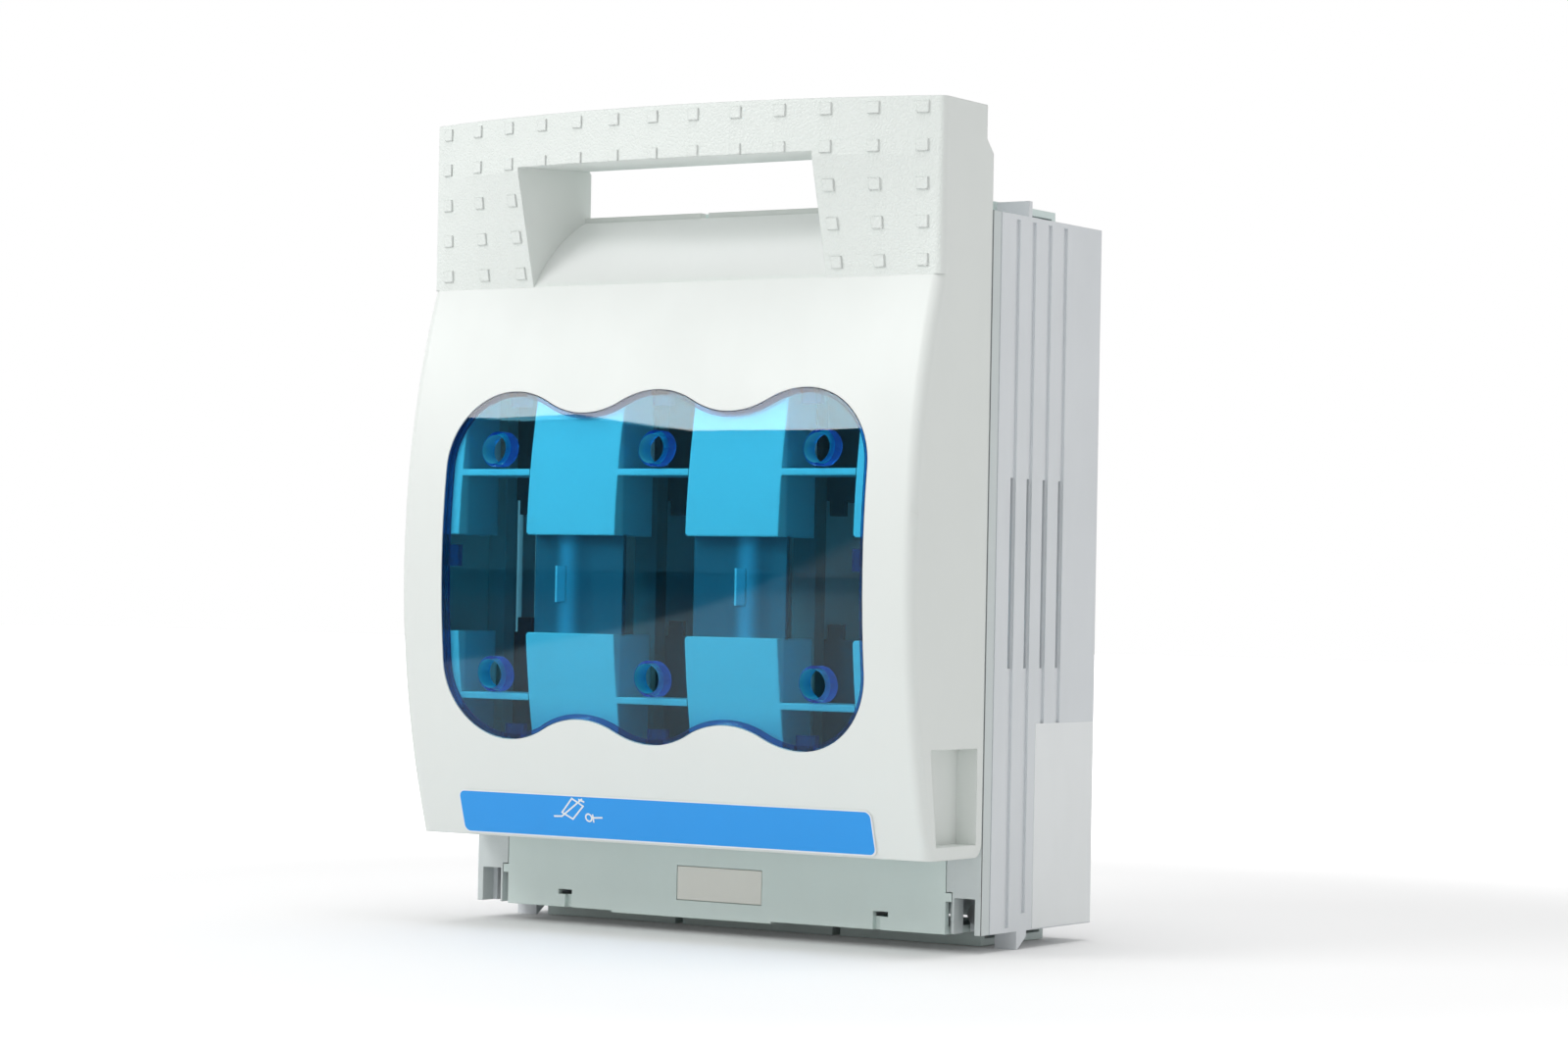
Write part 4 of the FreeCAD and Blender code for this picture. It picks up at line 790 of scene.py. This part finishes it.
@dataclass
class Window:
    """The clear blue window with its skirt, tubes and clips.

    Lengths are in mm, and heights are above the base's lower edge.

    Attributes:
        pane: Colour of light that went through the pane.
        deep: Colour where light runs along the wall of the moulding.
        rim_glow: Colour of the light that the outer wall gives off again.
        tube_glow: The same for the outside of the probe tubes.
        bore_glow: The same for the inside of the probe tubes.
        glow_share: How much of a wall's look that glow makes up.
        bore_share: The same inside the tubes.
        shadow: Tint of the lamps' light that goes in through the pane.
        roughness: Roughness of the pane.
        refraction: How strongly the plastic bends light.
        wall_facing: Y of the face's direction, to either side, at which a wall starts.
        inner_face: Depths below the drum at which the pane's inner face starts.
        tube_pitch: Distance between the tubes of a row.
        tube_rows: Heights of the lower and the upper row.
        tube_radius: Outer radius of the tubes.
        bore_radius: Inner radius of the tubes.
        tube_margin: Distances past a radius at which a tube's colour starts.
    """

    pane: Colour = (0.19, 0.635, 0.84)
    deep: Colour = (0.02, 0.24, 0.90)
    rim_glow: Colour = (0.02, 0.07, 0.22)
    tube_glow: Colour = (0.03, 0.20, 0.85)
    bore_glow: Colour = (0.05, 0.47, 0.64)
    glow_share: float = 0.4
    bore_share: float = 0.65
    shadow: Colour = (0.55, 0.92, 0.92)
    roughness: float = 0.012
    refraction: float = 1.46
    wall_facing: Pair = (0.66, 0.5)
    inner_face: Pair = (2.2, 2.7)
    tube_pitch: float = 58.2
    tube_rows: Pair = (73.0, 141.3)
    tube_radius: float = 5.4
    bore_radius: float = 4.4
    tube_margin: Pair = (0.5, 0.3)

    def build(self) -> None:
        """Dress the window."""
        dress(self._material(), "window_blue")

    def _material(self) -> bpy.types.Material:
        """Make the clear moulding, deep blue in its walls and clips, which lets the lamps' light in.

        Returns:
            The material.
        """
        material, nodes, shader = new_material("window_blue")
        shader.inputs["Transmission Weight"].default_value = 1.0
        shader.inputs["Roughness"].default_value = self.roughness
        shader.inputs["IOR"].default_value = self.refraction
        where = nodes.where()
        _, facing, _ = nodes.split(nodes.normal())
        wall = nodes.ramp(nodes.away(facing), *self.wall_facing)
        axis = (0.0, (LID_RADIUS - LID_CROWN_DEPTH) * MM, level(LID_CROWN_HEIGHT))
        spoke = nodes.vector("MULTIPLY", nodes.vector("SUBTRACT", where, axis), (0.0, 1.0, 1.0))
        radius = nodes.vector("LENGTH", spoke, result="Value")
        start, full = self.inner_face
        inner = nodes.ramp_mm(radius, (LID_RADIUS - start, LID_RADIUS - full))
        thick = nodes.math("MAXIMUM", wall, inner)
        nodes.feed(nodes.mix(thick, self.pane, self.deep), shader.inputs["Base Color"])
        glow, bore = self._glow(nodes, where)
        share = nodes.times(thick, nodes.ramp(bore, 0.0, 1.0, self.glow_share, self.bore_share))
        scatter = nodes.add("ShaderNodeBsdfDiffuse", {"Color": glow}).outputs["BSDF"]
        clear = nodes.add("ShaderNodeBsdfTransparent", {"Color": self.shadow}).outputs["BSDF"]
        shadow_ray = nodes.add("ShaderNodeLightPath").outputs["Is Shadow Ray"]
        solid = nodes.add_fed("ShaderNodeMixShader", share, shader.outputs["BSDF"], scatter).outputs[0]
        whole = nodes.add_fed("ShaderNodeMixShader", shadow_ray, solid, clear).outputs[0]
        nodes.feed(whole, nodes.tree.nodes["Material Output"].inputs["Surface"])
        return material

    def _glow(self, nodes: Nodes, where: Socket) -> tuple[Socket, Socket]:
        """Colour of the light that the walls give off, by the distance from the nearest tube's axis.

        The tubes repeat across X, so X is wrapped to one pitch, and their two rows mirror about the
        height half way between them. The distance is the length of what is left of both.

        Args:
            nodes: Calls for the material's tree.
            where: Object coordinates.

        Returns:
            The colour, and a mask that is 1 inside a tube.
        """
        x, _, z = nodes.split(where)
        half_pitch = self.tube_pitch / 2 * MM
        across = nodes.math("WRAP", x, half_pitch, -half_pitch)
        distance = nodes.length(across, nodes.past_heights(z, self.tube_rows))
        start, full = self.tube_margin
        tube, bore = (nodes.ramp_mm(distance, (radius + start, radius + full))
                      for radius in (self.tube_radius, self.bore_radius))
        return nodes.mix(bore, nodes.mix(tube, self.rim_glow, self.tube_glow), self.bore_glow), bore


@dataclass
class Carrier:
    """The fuse carrier in the lid: the CAD node's finish, and a web behind each spine.

    Lengths are in mm. Heights are above the base's lower edge, and Y falls towards the front.

    Attributes:
        effects: The shared node groups.
        skin: The carrier's finish.
        inside: Painted shade on the faces behind the front faces, where little light reaches.
        inside_y: Y at which the painted shade inside starts, and at which it is full.
        spine_painted_shade: Painted shade on the front of the spines between the blocks, which little light
            reaches.
        corner_painted_shade: Painted shade at the blocks' corners, beyond the circle that rounds them.
        glint: Painted highlight on the edge of the bulge on each spine.
        glint_width: Distances from that edge at which the painted highlight starts, from the right.
        front_facing: Y of the face's direction at which it counts as a front.
        blur: Softness of the edges between colours.
        spine_centre: Distance of a spine from the middle of the switch.
        spine_half: Half the width of a spine.
        bulge: How far the bulge stands out to the left of its spine.
        block_centre: Distance of a column of blocks from the middle.
        block_half: Half the width of a block.
        block_corner: Radius of the blocks' front corners.
        open_middle: Heights at which the lower blocks end and the upper blocks start.
        web_painted_shade_finish: Finish of the webs, whose dark colour is painted shade.
        web_depth: Depth of the webs' faces at their edges.
        web_rise: How far a web swells forwards at its spine.
        web_reach: Distance from the spine over which it swells.
        ridge_share: Part of that distance over which it has the spines' painted shade.
        web_wall: Thickness of a web.
        bite: How far a web goes into the blocks above and below.
    """

    effects: Effects
    skin: Finish = Finish("carrier_grey", (0.88, 0.90, 0.90), mottle=0.02, edge=0.0009, edge_highlight_gain=0.05,
                          specular=0.28)
    inside: Colour = (0.50, 0.66, 0.72)
    inside_y: Pair = (-104.5, -102.5)
    spine_painted_shade: Colour = (0.20, 0.38, 0.48)
    corner_painted_shade: Colour = (0.02, 0.07, 0.11)
    glint: Colour = (0.75, 0.85, 0.88)
    glint_width: Pair = (0.9, 0.5)
    front_facing: Pair = (-0.6, -0.8)
    blur: float = 0.1
    spine_centre: float = 32.5
    spine_half: float = 1.6
    bulge: float = 2.4
    block_centre: float = 29.1
    block_half: float = 16.3
    block_corner: float = 1.4
    open_middle: Pair = (85.9, 115.4)
    web_painted_shade_finish: Finish = Finish("carrier_web", (0.07, 0.135, 0.175), 0.45, edge=0.0006)
    web_depth: float = 102.6
    web_rise: float = 1.7
    web_reach: float = 9.0
    ridge_share: float = 0.6
    web_wall: float = 1.5
    bite: float = 0.4

    def build(self) -> None:
        """Dress the carrier and add its webs."""
        dress(self._carrier_material(), "carrier_grey")
        web_material = self._web_material()
        for name, side in (("carrier_web_left", -1.0), ("carrier_web_right", 1.0)):
            self._web(name, side, web_material)

    @staticmethod
    def _from_left(nodes: Nodes, x: Socket, centre: float, half: float) -> Socket:
        """Measure across one of two equal forms, which stand left and right of the middle.

        X is counted from the left edge of the left form, and wrapped to the distance between them.

        Args:
            nodes: Calls for the material's tree.
            x: X in metres.
            centre: Distance of each form's centre from the middle.
            half: Distance from its centre to its left edge.

        Returns:
            The distance from the form's left edge, in metres.
        """
        counted = nodes.math("ADD", x, (centre + half) * MM)
        return nodes.math("WRAP", counted, centre * MM, -centre * MM)

    def _carrier_material(self) -> bpy.types.Material:
        """Make the carrier's moulding, with painted shade inside and on spines, painted highlights on
        bulges.

        Painted shade darkens the blocks' left corners where a point lies beyond the circle that rounds
        them: the length of its distances past the circle's centre is more than the radius.

        Returns:
            The material.
        """
        made = self.skin.build(self.effects)
        nodes = made.nodes
        x, y, z = nodes.split(made.where)
        _, facing, _ = nodes.split(nodes.normal())
        blur = self.blur * MM
        corner = self.block_corner * MM
        front = nodes.ramp(facing, *self.front_facing)
        beyond = nodes.past_heights(z, self.open_middle)
        between = nodes.times(nodes.ramp(beyond, 0.0, -blur), front)
        bulge_side = self._from_left(nodes, x, self.spine_centre, self.spine_half + self.bulge)
        block_side = self._from_left(nodes, x, self.block_centre, self.block_half)
        side = nodes.math("SUBTRACT", corner, block_side)
        end = nodes.math("SUBTRACT", corner, beyond)
        past = nodes.ramp(nodes.corner_length(side, end), corner, corner + blur)
        on_block = nodes.times(nodes.ramp(beyond, -2.0 * blur, -blur),
                               nodes.ramp(side, corner + 4.0 * blur, corner + 2.0 * blur))
        # Painted shade on the faces behind the front faces.
        made.recolour(nodes.ramp_mm(y, self.inside_y), self.inside)
        # Painted shade on the front of the spines.
        made.recolour(between, self.spine_painted_shade)
        # Painted highlight along the edge of each spine's bulge.
        made.recolour(nodes.times(nodes.ramp_mm(bulge_side, self.glint_width), between), self.glint)
        # Painted shade beyond the blocks' rounded front corners.
        made.recolour(nodes.times(past, on_block, front), self.corner_painted_shade)
        return made.material

    def _web_material(self) -> bpy.types.Material:
        """Make the webs' moulding, painted dark as shade, which turns to the spines' painted shade at its
        spine.

        Returns:
            The material.
        """
        made = self.web_painted_shade_finish.build(self.effects)
        x, _, _ = made.nodes.split(made.where)
        past_spine = made.nodes.away(made.nodes.away(x), self.spine_centre * MM)
        # Painted shade of the spines on the web near each spine.
        made.recolour(made.nodes.ramp_mm(past_spine, (self.web_reach * self.ridge_share, 0.0)), self.spine_painted_shade)
        return made.material

    def _web(self, name: str, side: float, material: bpy.types.Material) -> None:
        """Build one web as a profile carried up from the lower to the upper block.

        Across its width the face's depth is that at its edges plus half the rise times one plus the
        cosine of pi times the distance from the spine over the reach, with that ratio kept at 1 or
        less. The back is the same profile less the wall.

        Args:
            name: Name of the piece.
            side: -1 for the left column, 1 for the right.
            material: Its material.
        """
        columns, rows = 40, 9
        x = side * self.block_centre + np.linspace(-self.block_half, self.block_half, columns)
        ratio = np.clip(np.abs(x - side * self.spine_centre) / self.web_reach, 0.0, 1.0)
        depth = self.web_depth + self.web_rise * 0.5 * (1.0 + np.cos(np.pi * ratio))
        profile = np.concatenate([np.stack([x, depth], axis=1),
                                  np.stack([x, depth - self.web_wall], axis=1)[::-1]])
        low, high = self.open_middle
        heights = np.linspace(low - self.bite, high + self.bite, rows)
        grid = np.empty((rows, len(profile), 3))
        grid[..., 0] = profile[:, 0]
        grid[..., 1] = -profile[:, 1]
        grid[..., 2] = heights[:, None] - BASE_HALF_HEIGHT
        faces = carried_faces(rows, len(profile), closed=False)
        piece = add_piece(name, grid.reshape(-1, 3) * MM, faces, material)
        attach(piece, "lid")


@dataclass
class Base:
    """Housing, front frame, terminal covers, labels and everything inside.

    Lengths are in mm, and Y falls towards the front. Two numbers are the ends between which a look
    starts, the first without it and the second with it.

    Attributes:
        effects: The shared node groups.
        nib_painted_light: Painted light: a lighter colour on the nibs of the contact covers, which stand
            forward into the light.
        nib_y: Y at which the nibs start.
        lower_cover: Painted light: a lighter colour on the lower contact covers, which are lit more than
            the upper ones.
        lower_z: Z at which the lower contact covers start.
        underside_painted_shade: Painted shade on the terminal covers' lips, which face down and get little
            light.
        under_rising: Z of the face's direction at which the painted shade starts.
        strip_painted_shade: Painted shade on the frame's strips behind the window, which little lamp light
            reaches.
        strip_shade_share: How far the frame turns to that painted shade.
        strip_shade_x: X at which the painted shade starts, to either side.
        strip_shade_z: Z at which it starts, up and down.
        gap_painted_shade: Painted shade in the gap between frame and lid.
        gap_x: X at which the frame's outer sides start, to either side.
        gap_facing: X of the face's direction at which they start, to either side.
        gap_y: Y at which the gap's line starts.
        mouldings: Finishes of the mouldings and labels.
        metals: Finishes of the metals.
    """

    effects: Effects
    nib_painted_light: Colour = (0.55, 0.62, 0.68)
    nib_y: Pair = (-60.65, -60.75)
    lower_cover: Colour = (0.045, 0.135, 0.20)
    lower_z: Pair = (-15.0, -30.0)
    underside_painted_shade: Colour = (0.40, 0.46, 0.45)
    under_rising: Pair = (-0.1, -0.5)
    strip_painted_shade: Colour = (0.07, 0.12, 0.155)
    strip_shade_share: float = 0.75
    strip_shade_x: Pair = (72.0, 69.0)
    strip_shade_z: Pair = (74.0, 62.0)
    gap_painted_shade: Colour = (0.10, 0.11, 0.11)
    gap_x: Pair = (90.0, 90.5)
    gap_facing: Pair = (0.5, 0.7)
    gap_y: Pair = (-66.95, -67.05)
    mouldings: tuple[Finish, ...] = (
        Finish("housing_grey", (0.755, 0.79, 0.815), relief=0.000015, mottle=0.04),
        Finish("frame_grey", (0.66, 0.715, 0.715), 0.6, grain=Grain.SANDBLAST, relief=0.00006),
        Finish("cover_grey", (0.73, 0.84, 0.81), 0.4),
        Finish("cover_dark", (0.03, 0.08, 0.125), 0.5),
        Finish("label_white", (0.87, 0.90, 0.905), 0.5, relief=0.000006, edge=0.00005),
        Finish("plate_cream", (0.86, 0.86, 0.80), 0.4, relief=0.000006, mottle=0.02),
    )
    metals: tuple[Finish, ...] = (
        Finish("contact_plated", (0.70, 0.66, 0.60), 0.35, 1.0, Grain.DRAWN, 0.000006, edge=0.0003),
        Finish("spring_steel", (0.45, 0.45, 0.46), 0.35, 1.0, Grain.DRAWN, 0.000006, edge=0.0002),
        Finish("bolt_zinc", (0.66, 0.67, 0.68), 0.34, 1.0, Grain.SATIN, 0.000008, edge=0.0003),
        Finish("arc_steel", (0.08, 0.085, 0.10), 0.5, 1.0, Grain.DRAWN, 0.00001, edge=0.0002),
        Finish("screw_steel", (0.66, 0.67, 0.68), 0.45, 1.0, Grain.SATIN, 0.00001, edge=0.0002),
        Finish("pin_steel", (0.55, 0.55, 0.56), 0.28, 1.0, Grain.DRAWN, 0.000004, edge=0.0002),
    )

    def build(self) -> None:
        """Dress every node of the base."""
        shading = {"cover_dark": (self._paint_cover_light,), "cover_grey": (self._paint_lip_shade,),
                   "frame_grey": (self._shade_strips, self._paint_gap_shade)}
        for finish in self.mouldings + self.metals:
            made = finish.build(self.effects)
            for shade in shading.get(finish.name, ()):
                shade(made)
            dress(made.material, finish.name)

    def _paint_cover_light(self, made: Surface) -> None:
        """Paint light on the lower contact covers and on all the nibs.

        Args:
            made: The contact covers' surface.
        """
        _, y, z = made.nodes.split(made.where)
        # Painted light on the lower contact covers.
        made.recolour(made.nodes.ramp_mm(z, self.lower_z), self.lower_cover)
        # Painted light on the nibs, where they stand forward.
        made.recolour(made.nodes.ramp_mm(y, self.nib_y), self.nib_painted_light)

    def _paint_lip_shade(self, made: Surface) -> None:
        """Paint shade on the faces of the terminal covers' surface where they face down."""
        _, _, rising = made.nodes.split(made.nodes.normal())
        # Painted shade on faces that point down.
        made.recolour(made.nodes.ramp(rising, *self.under_rising), self.underside_painted_shade)

    def _shade_strips(self, made: Surface) -> None:
        """Paint shade on the frame's strips between the phases, where they lie behind the window.

        Args:
            made: The frame's surface.
        """
        nodes = made.nodes
        x, _, z = nodes.split(made.where)
        strip_shade_mask = nodes.times(nodes.ramp_mm(nodes.away(x), self.strip_shade_x),
                           nodes.ramp_mm(nodes.away(z), self.strip_shade_z), self.strip_shade_share)
        # Painted shade on the strips behind the window.
        made.recolour(strip_shade_mask, self.strip_painted_shade)

    def _paint_gap_shade(self, made: Surface) -> None:
        """Paint the shade in the gap between frame and lid as a dark line on the frame's outer sides.

        Args:
            made: The frame's surface.
        """
        nodes = made.nodes
        x, y, _ = nodes.split(made.where)
        sideways, _, _ = nodes.split(nodes.normal())
        line = nodes.times(nodes.ramp_mm(nodes.away(x), self.gap_x),
                           nodes.ramp(nodes.away(sideways), *self.gap_facing), nodes.ramp_mm(y, self.gap_y))
        # Painted shade in the gap between frame and lid.
        made.recolour(line, self.gap_painted_shade)


@dataclass(frozen=True)
class Lamp:
    """One soft box.

    Attributes:
        name: Name of the lamp.
        station: Where it hangs, in metres.
        target: What it faces, in metres.
        size: Its width and height, in metres.
        power: Its power, in watts.
        lights: Whether it lights matt surfaces.
        mirrored: Whether shiny surfaces mirror it.
    """

    name: str
    station: Place
    target: Place
    size: Pair
    power: float
    lights: bool = True
    mirrored: bool = True

    def build(self) -> None:
        """Hang the lamp and turn it to its target."""
        data = bpy.data.lights.new(self.name, "AREA")
        data.shape = "RECTANGLE"
        data.size, data.size_y = self.size
        data.energy = self.power
        lamp = bpy.data.objects.new(self.name, data)
        bpy.context.collection.objects.link(lamp)
        lamp.location = self.station
        beam = Vector(self.target) - Vector(self.station)
        lamp.rotation_euler = beam.to_track_quat("-Z", "Y").to_euler()
        lamp.visible_camera = False
        lamp.visible_diffuse = self.lights
        lamp.visible_glossy = self.mirrored


@dataclass
class Studio:
    """Camera, floor, world and lamps.

    Attributes:
        image_width: Width of the photograph, in pixels.
        focal_pixels: Focal length, in pixels of the photograph.
        sensor: Width of the camera's sensor, in mm.
        azimuth: Turn of the camera's view to the left, in degrees.
        elevation: Tilt of the view downwards, in radians.
        roll: Turn of the picture, in radians.
        station: The camera's X, depth and height, in mm.
        floor_height: Height of the floor above the base's lower edge, in mm.
        floor_reach: Distance from the middle to each edge of the floor, in metres.
        floor_colour: Colour of the paper.
        floor_roughness: Roughness of the paper.
        floor_mirrored: The paper's colour as the window mirrors it.
        room_mirrored: The colour that the window mirrors beyond the paper's edge.
        backlight: Light that the paper gives off on its own, for the camera.
        clear: Distances from the middle at which the floor starts and ends turning white, in metres.
        paper_across: Direction across the paper's edge in the window's reflection.
        paper_edge: Distance of that edge from the middle, in metres.
        paper_bend: How much the edge bends towards the middle near it, in cubic metres.
        paper_blur: Softness of that edge, in metres.
        wall_lean: How much the paper's edge leans over where it goes up.
        wall_blur: Softness of the edge there.
        wall_end: Rise of a view at which the paper starts there, from above.
        behind: How far a view goes the camera's way where the room starts and ends turning white.
        room_glow: Brightness of the room before the object, in reflections.
        room_fill: Brightness of the room as light.
        lamps: The soft boxes.
    """

    image_width: int = 1600
    focal_pixels: float = 3924.87
    sensor: float = 36.0
    azimuth: float = 32.761
    elevation: float = -0.019727
    roll: float = 0.019127
    station: Place = (651.09, 1046.53, 97.40)
    floor_height: float = -5.4
    floor_reach: float = 6.0
    floor_colour: Colour = (0.83, 0.83, 0.83)
    floor_roughness: float = 0.7
    floor_mirrored: Colour = (0.60, 0.60, 0.60)
    room_mirrored: Colour = (0.02, 0.02, 0.02)
    backlight: float = 0.045
    clear: Pair = (0.26, 0.75)
    paper_across: Place = (0.843, -0.538, 0.0)
    paper_edge: float = 0.063
    paper_bend: float = 0.033
    paper_blur: float = 0.01
    wall_lean: float = 0.22
    wall_blur: float = 0.005
    wall_end: Pair = (0.15, 0.08)
    behind: Pair = (0.0, 0.4)
    room_glow: float = 0.03
    room_fill: float = 0.60
    lamps: tuple[Lamp, ...] = (
        Lamp("key", (-0.95, -1.60, 1.25), (0.0, -0.05, 0.0), (1.0, 0.7), 14.2, mirrored=False),
        Lamp("sheen", (-1.137, -1.652, 1.006), (0.0, -0.05, 0.0), (1.0, 0.7), 18.0, lights=False),
        Lamp("overhead", (0.1, -0.15, 1.8), (0.0, 0.0, 0.0), (1.2, 1.2), 17.0),
    )

    def build(self) -> None:
        """Set up the whole studio."""
        self._camera()
        self._floor()
        self._world()
        for lamp in self.lamps:
            lamp.build()

    def _camera(self) -> None:
        """Place the camera at the photograph's station."""
        data = bpy.data.cameras.new("photo_camera")
        data.sensor_width = self.sensor
        data.lens = self.focal_pixels / self.image_width * self.sensor
        data.clip_start = 0.01
        turn = math.radians(self.azimuth)
        level_share = math.cos(self.elevation)
        ahead = Vector((-math.sin(turn) * level_share, math.cos(turn) * level_share,
                        -math.sin(self.elevation)))
        sideways = Vector((math.cos(turn), math.sin(turn), 0.0))
        upright = sideways.cross(ahead)
        right = math.cos(self.roll) * sideways + math.sin(self.roll) * upright
        top = -math.sin(self.roll) * sideways + math.cos(self.roll) * upright
        x, depth, height = self.station
        station = Vector((x, -depth, height - BASE_HALF_HEIGHT)) * MM
        camera = bpy.data.objects.new("photo_camera", data)
        bpy.context.collection.objects.link(camera)
        axes = Matrix((right, top, -ahead)).transposed().to_4x4()
        camera.matrix_world = Matrix.Translation(station) @ axes
        bpy.context.scene.camera = camera

    def _floor(self) -> None:
        """Lay white paper that keeps the shadow near the object and is pure white further away.

        The window mirrors the paper up to an edge: a place is on the paper where its distance across
        the edge, less the edge's own distance, plus the bend over the square of its distance from
        the middle, is above zero.
        """
        material, nodes, shader = new_material("studio_paper")
        shader.inputs["Roughness"].default_value = self.floor_roughness
        shader.inputs["Emission Color"].default_value = (1.0, 1.0, 1.0, 1.0)
        where = nodes.where()
        ray = nodes.add("ShaderNodeLightPath").outputs
        distance = nodes.vector("LENGTH", nodes.vector("MULTIPLY", where, (1.0, 1.0, 0.0)), result="Value")
        light = nodes.ramp(distance, *self.clear, self.backlight, 1.0)
        nodes.feed(nodes.times(light, ray["Is Camera Ray"]), shader.inputs["Emission Strength"])
        bend = nodes.math("DIVIDE", self.paper_bend, nodes.math("POWER", distance, 2.0))
        beyond_edge = nodes.math("SUBTRACT", self._across(nodes, where), self.paper_edge)
        inside = nodes.math("ADD", beyond_edge, bend)
        mirrored = nodes.mix(nodes.ramp(inside, -self.paper_blur, self.paper_blur), self.room_mirrored,
                             self.floor_mirrored)
        colour = nodes.mix(ray["Is Glossy Ray"], self.floor_colour, mirrored)
        nodes.feed(colour, shader.inputs["Base Color"])
        mesh = bpy.data.meshes.new("studio_floor")
        reach, height = self.floor_reach, level(self.floor_height)
        corners = [(-reach, -reach, height), (reach, -reach, height),
                   (reach, reach, height), (-reach, reach, height)]
        mesh.from_pydata(corners, [], [(0, 1, 2, 3)])
        mesh.materials.append(material)
        floor = bpy.data.objects.new("studio_floor", mesh)
        bpy.context.collection.objects.link(floor)

    def _world(self) -> None:
        """Make the room: white behind the object, dimmer before it for reflections and fill.

        As the window mirrors it, the paper also goes up a little way. A view meets it there where
        the view's part across the paper's edge is more than its rise times the lean, and the rise is
        low.
        """
        world = bpy.data.worlds.new("studio_world")
        bpy.context.scene.world = world
        world.use_nodes = True
        nodes = Nodes(world.node_tree)
        background = nodes.tree.nodes["Background"]
        background.inputs["Color"].default_value = (1.0, 1.0, 1.0, 1.0)
        turn = math.radians(self.azimuth)
        ahead = (-math.sin(turn), math.cos(turn), 0.0)
        view = nodes.where()
        _, _, rise = nodes.split(view)
        white = nodes.ramp(nodes.vector("DOT_PRODUCT", view, ahead, result="Value"), *self.behind,
                           self.room_glow, 1.0)
        side = nodes.math("SUBTRACT", self._across(nodes, view), nodes.times(rise, self.wall_lean))
        wall = nodes.times(nodes.ramp(side, -self.wall_blur, self.wall_blur),
                           nodes.ramp(rise, *self.wall_end), self.floor_mirrored[0])
        ray = nodes.add("ShaderNodeLightPath").outputs
        shares = {"Is Camera Ray": 1.0, "Is Diffuse Ray": self.room_fill,
                  "Is Transmission Ray": nodes.math("MAXIMUM", white, self.room_fill),
                  "Is Glossy Ray": nodes.math("MAXIMUM", white, wall)}
        strength: Input = 0.0
        for kind, share in shares.items():
            strength = nodes.math("MAXIMUM", strength, nodes.times(ray[kind], share))
        nodes.feed(strength, background.inputs["Strength"])

    def _across(self, nodes: Nodes, where: Socket) -> Socket:
        """How far a place or view is across the paper's edge, towards the paper."""
        return nodes.vector("DOT_PRODUCT", where, self.paper_across, result="Value")


def main() -> None:
    """Build the studio and dress the switch."""
    bpy.context.scene.view_settings.view_transform = "Standard"
    effects = Effects()
    for assembly in (Studio(), Base(effects), Carrier(effects), Lid(effects), Window()):
        assembly.build()
        LOG.info("finished %s", type(assembly).__name__)


if __name__ == "__main__":
    logging.basicConfig(level=logging.INFO)
    main()
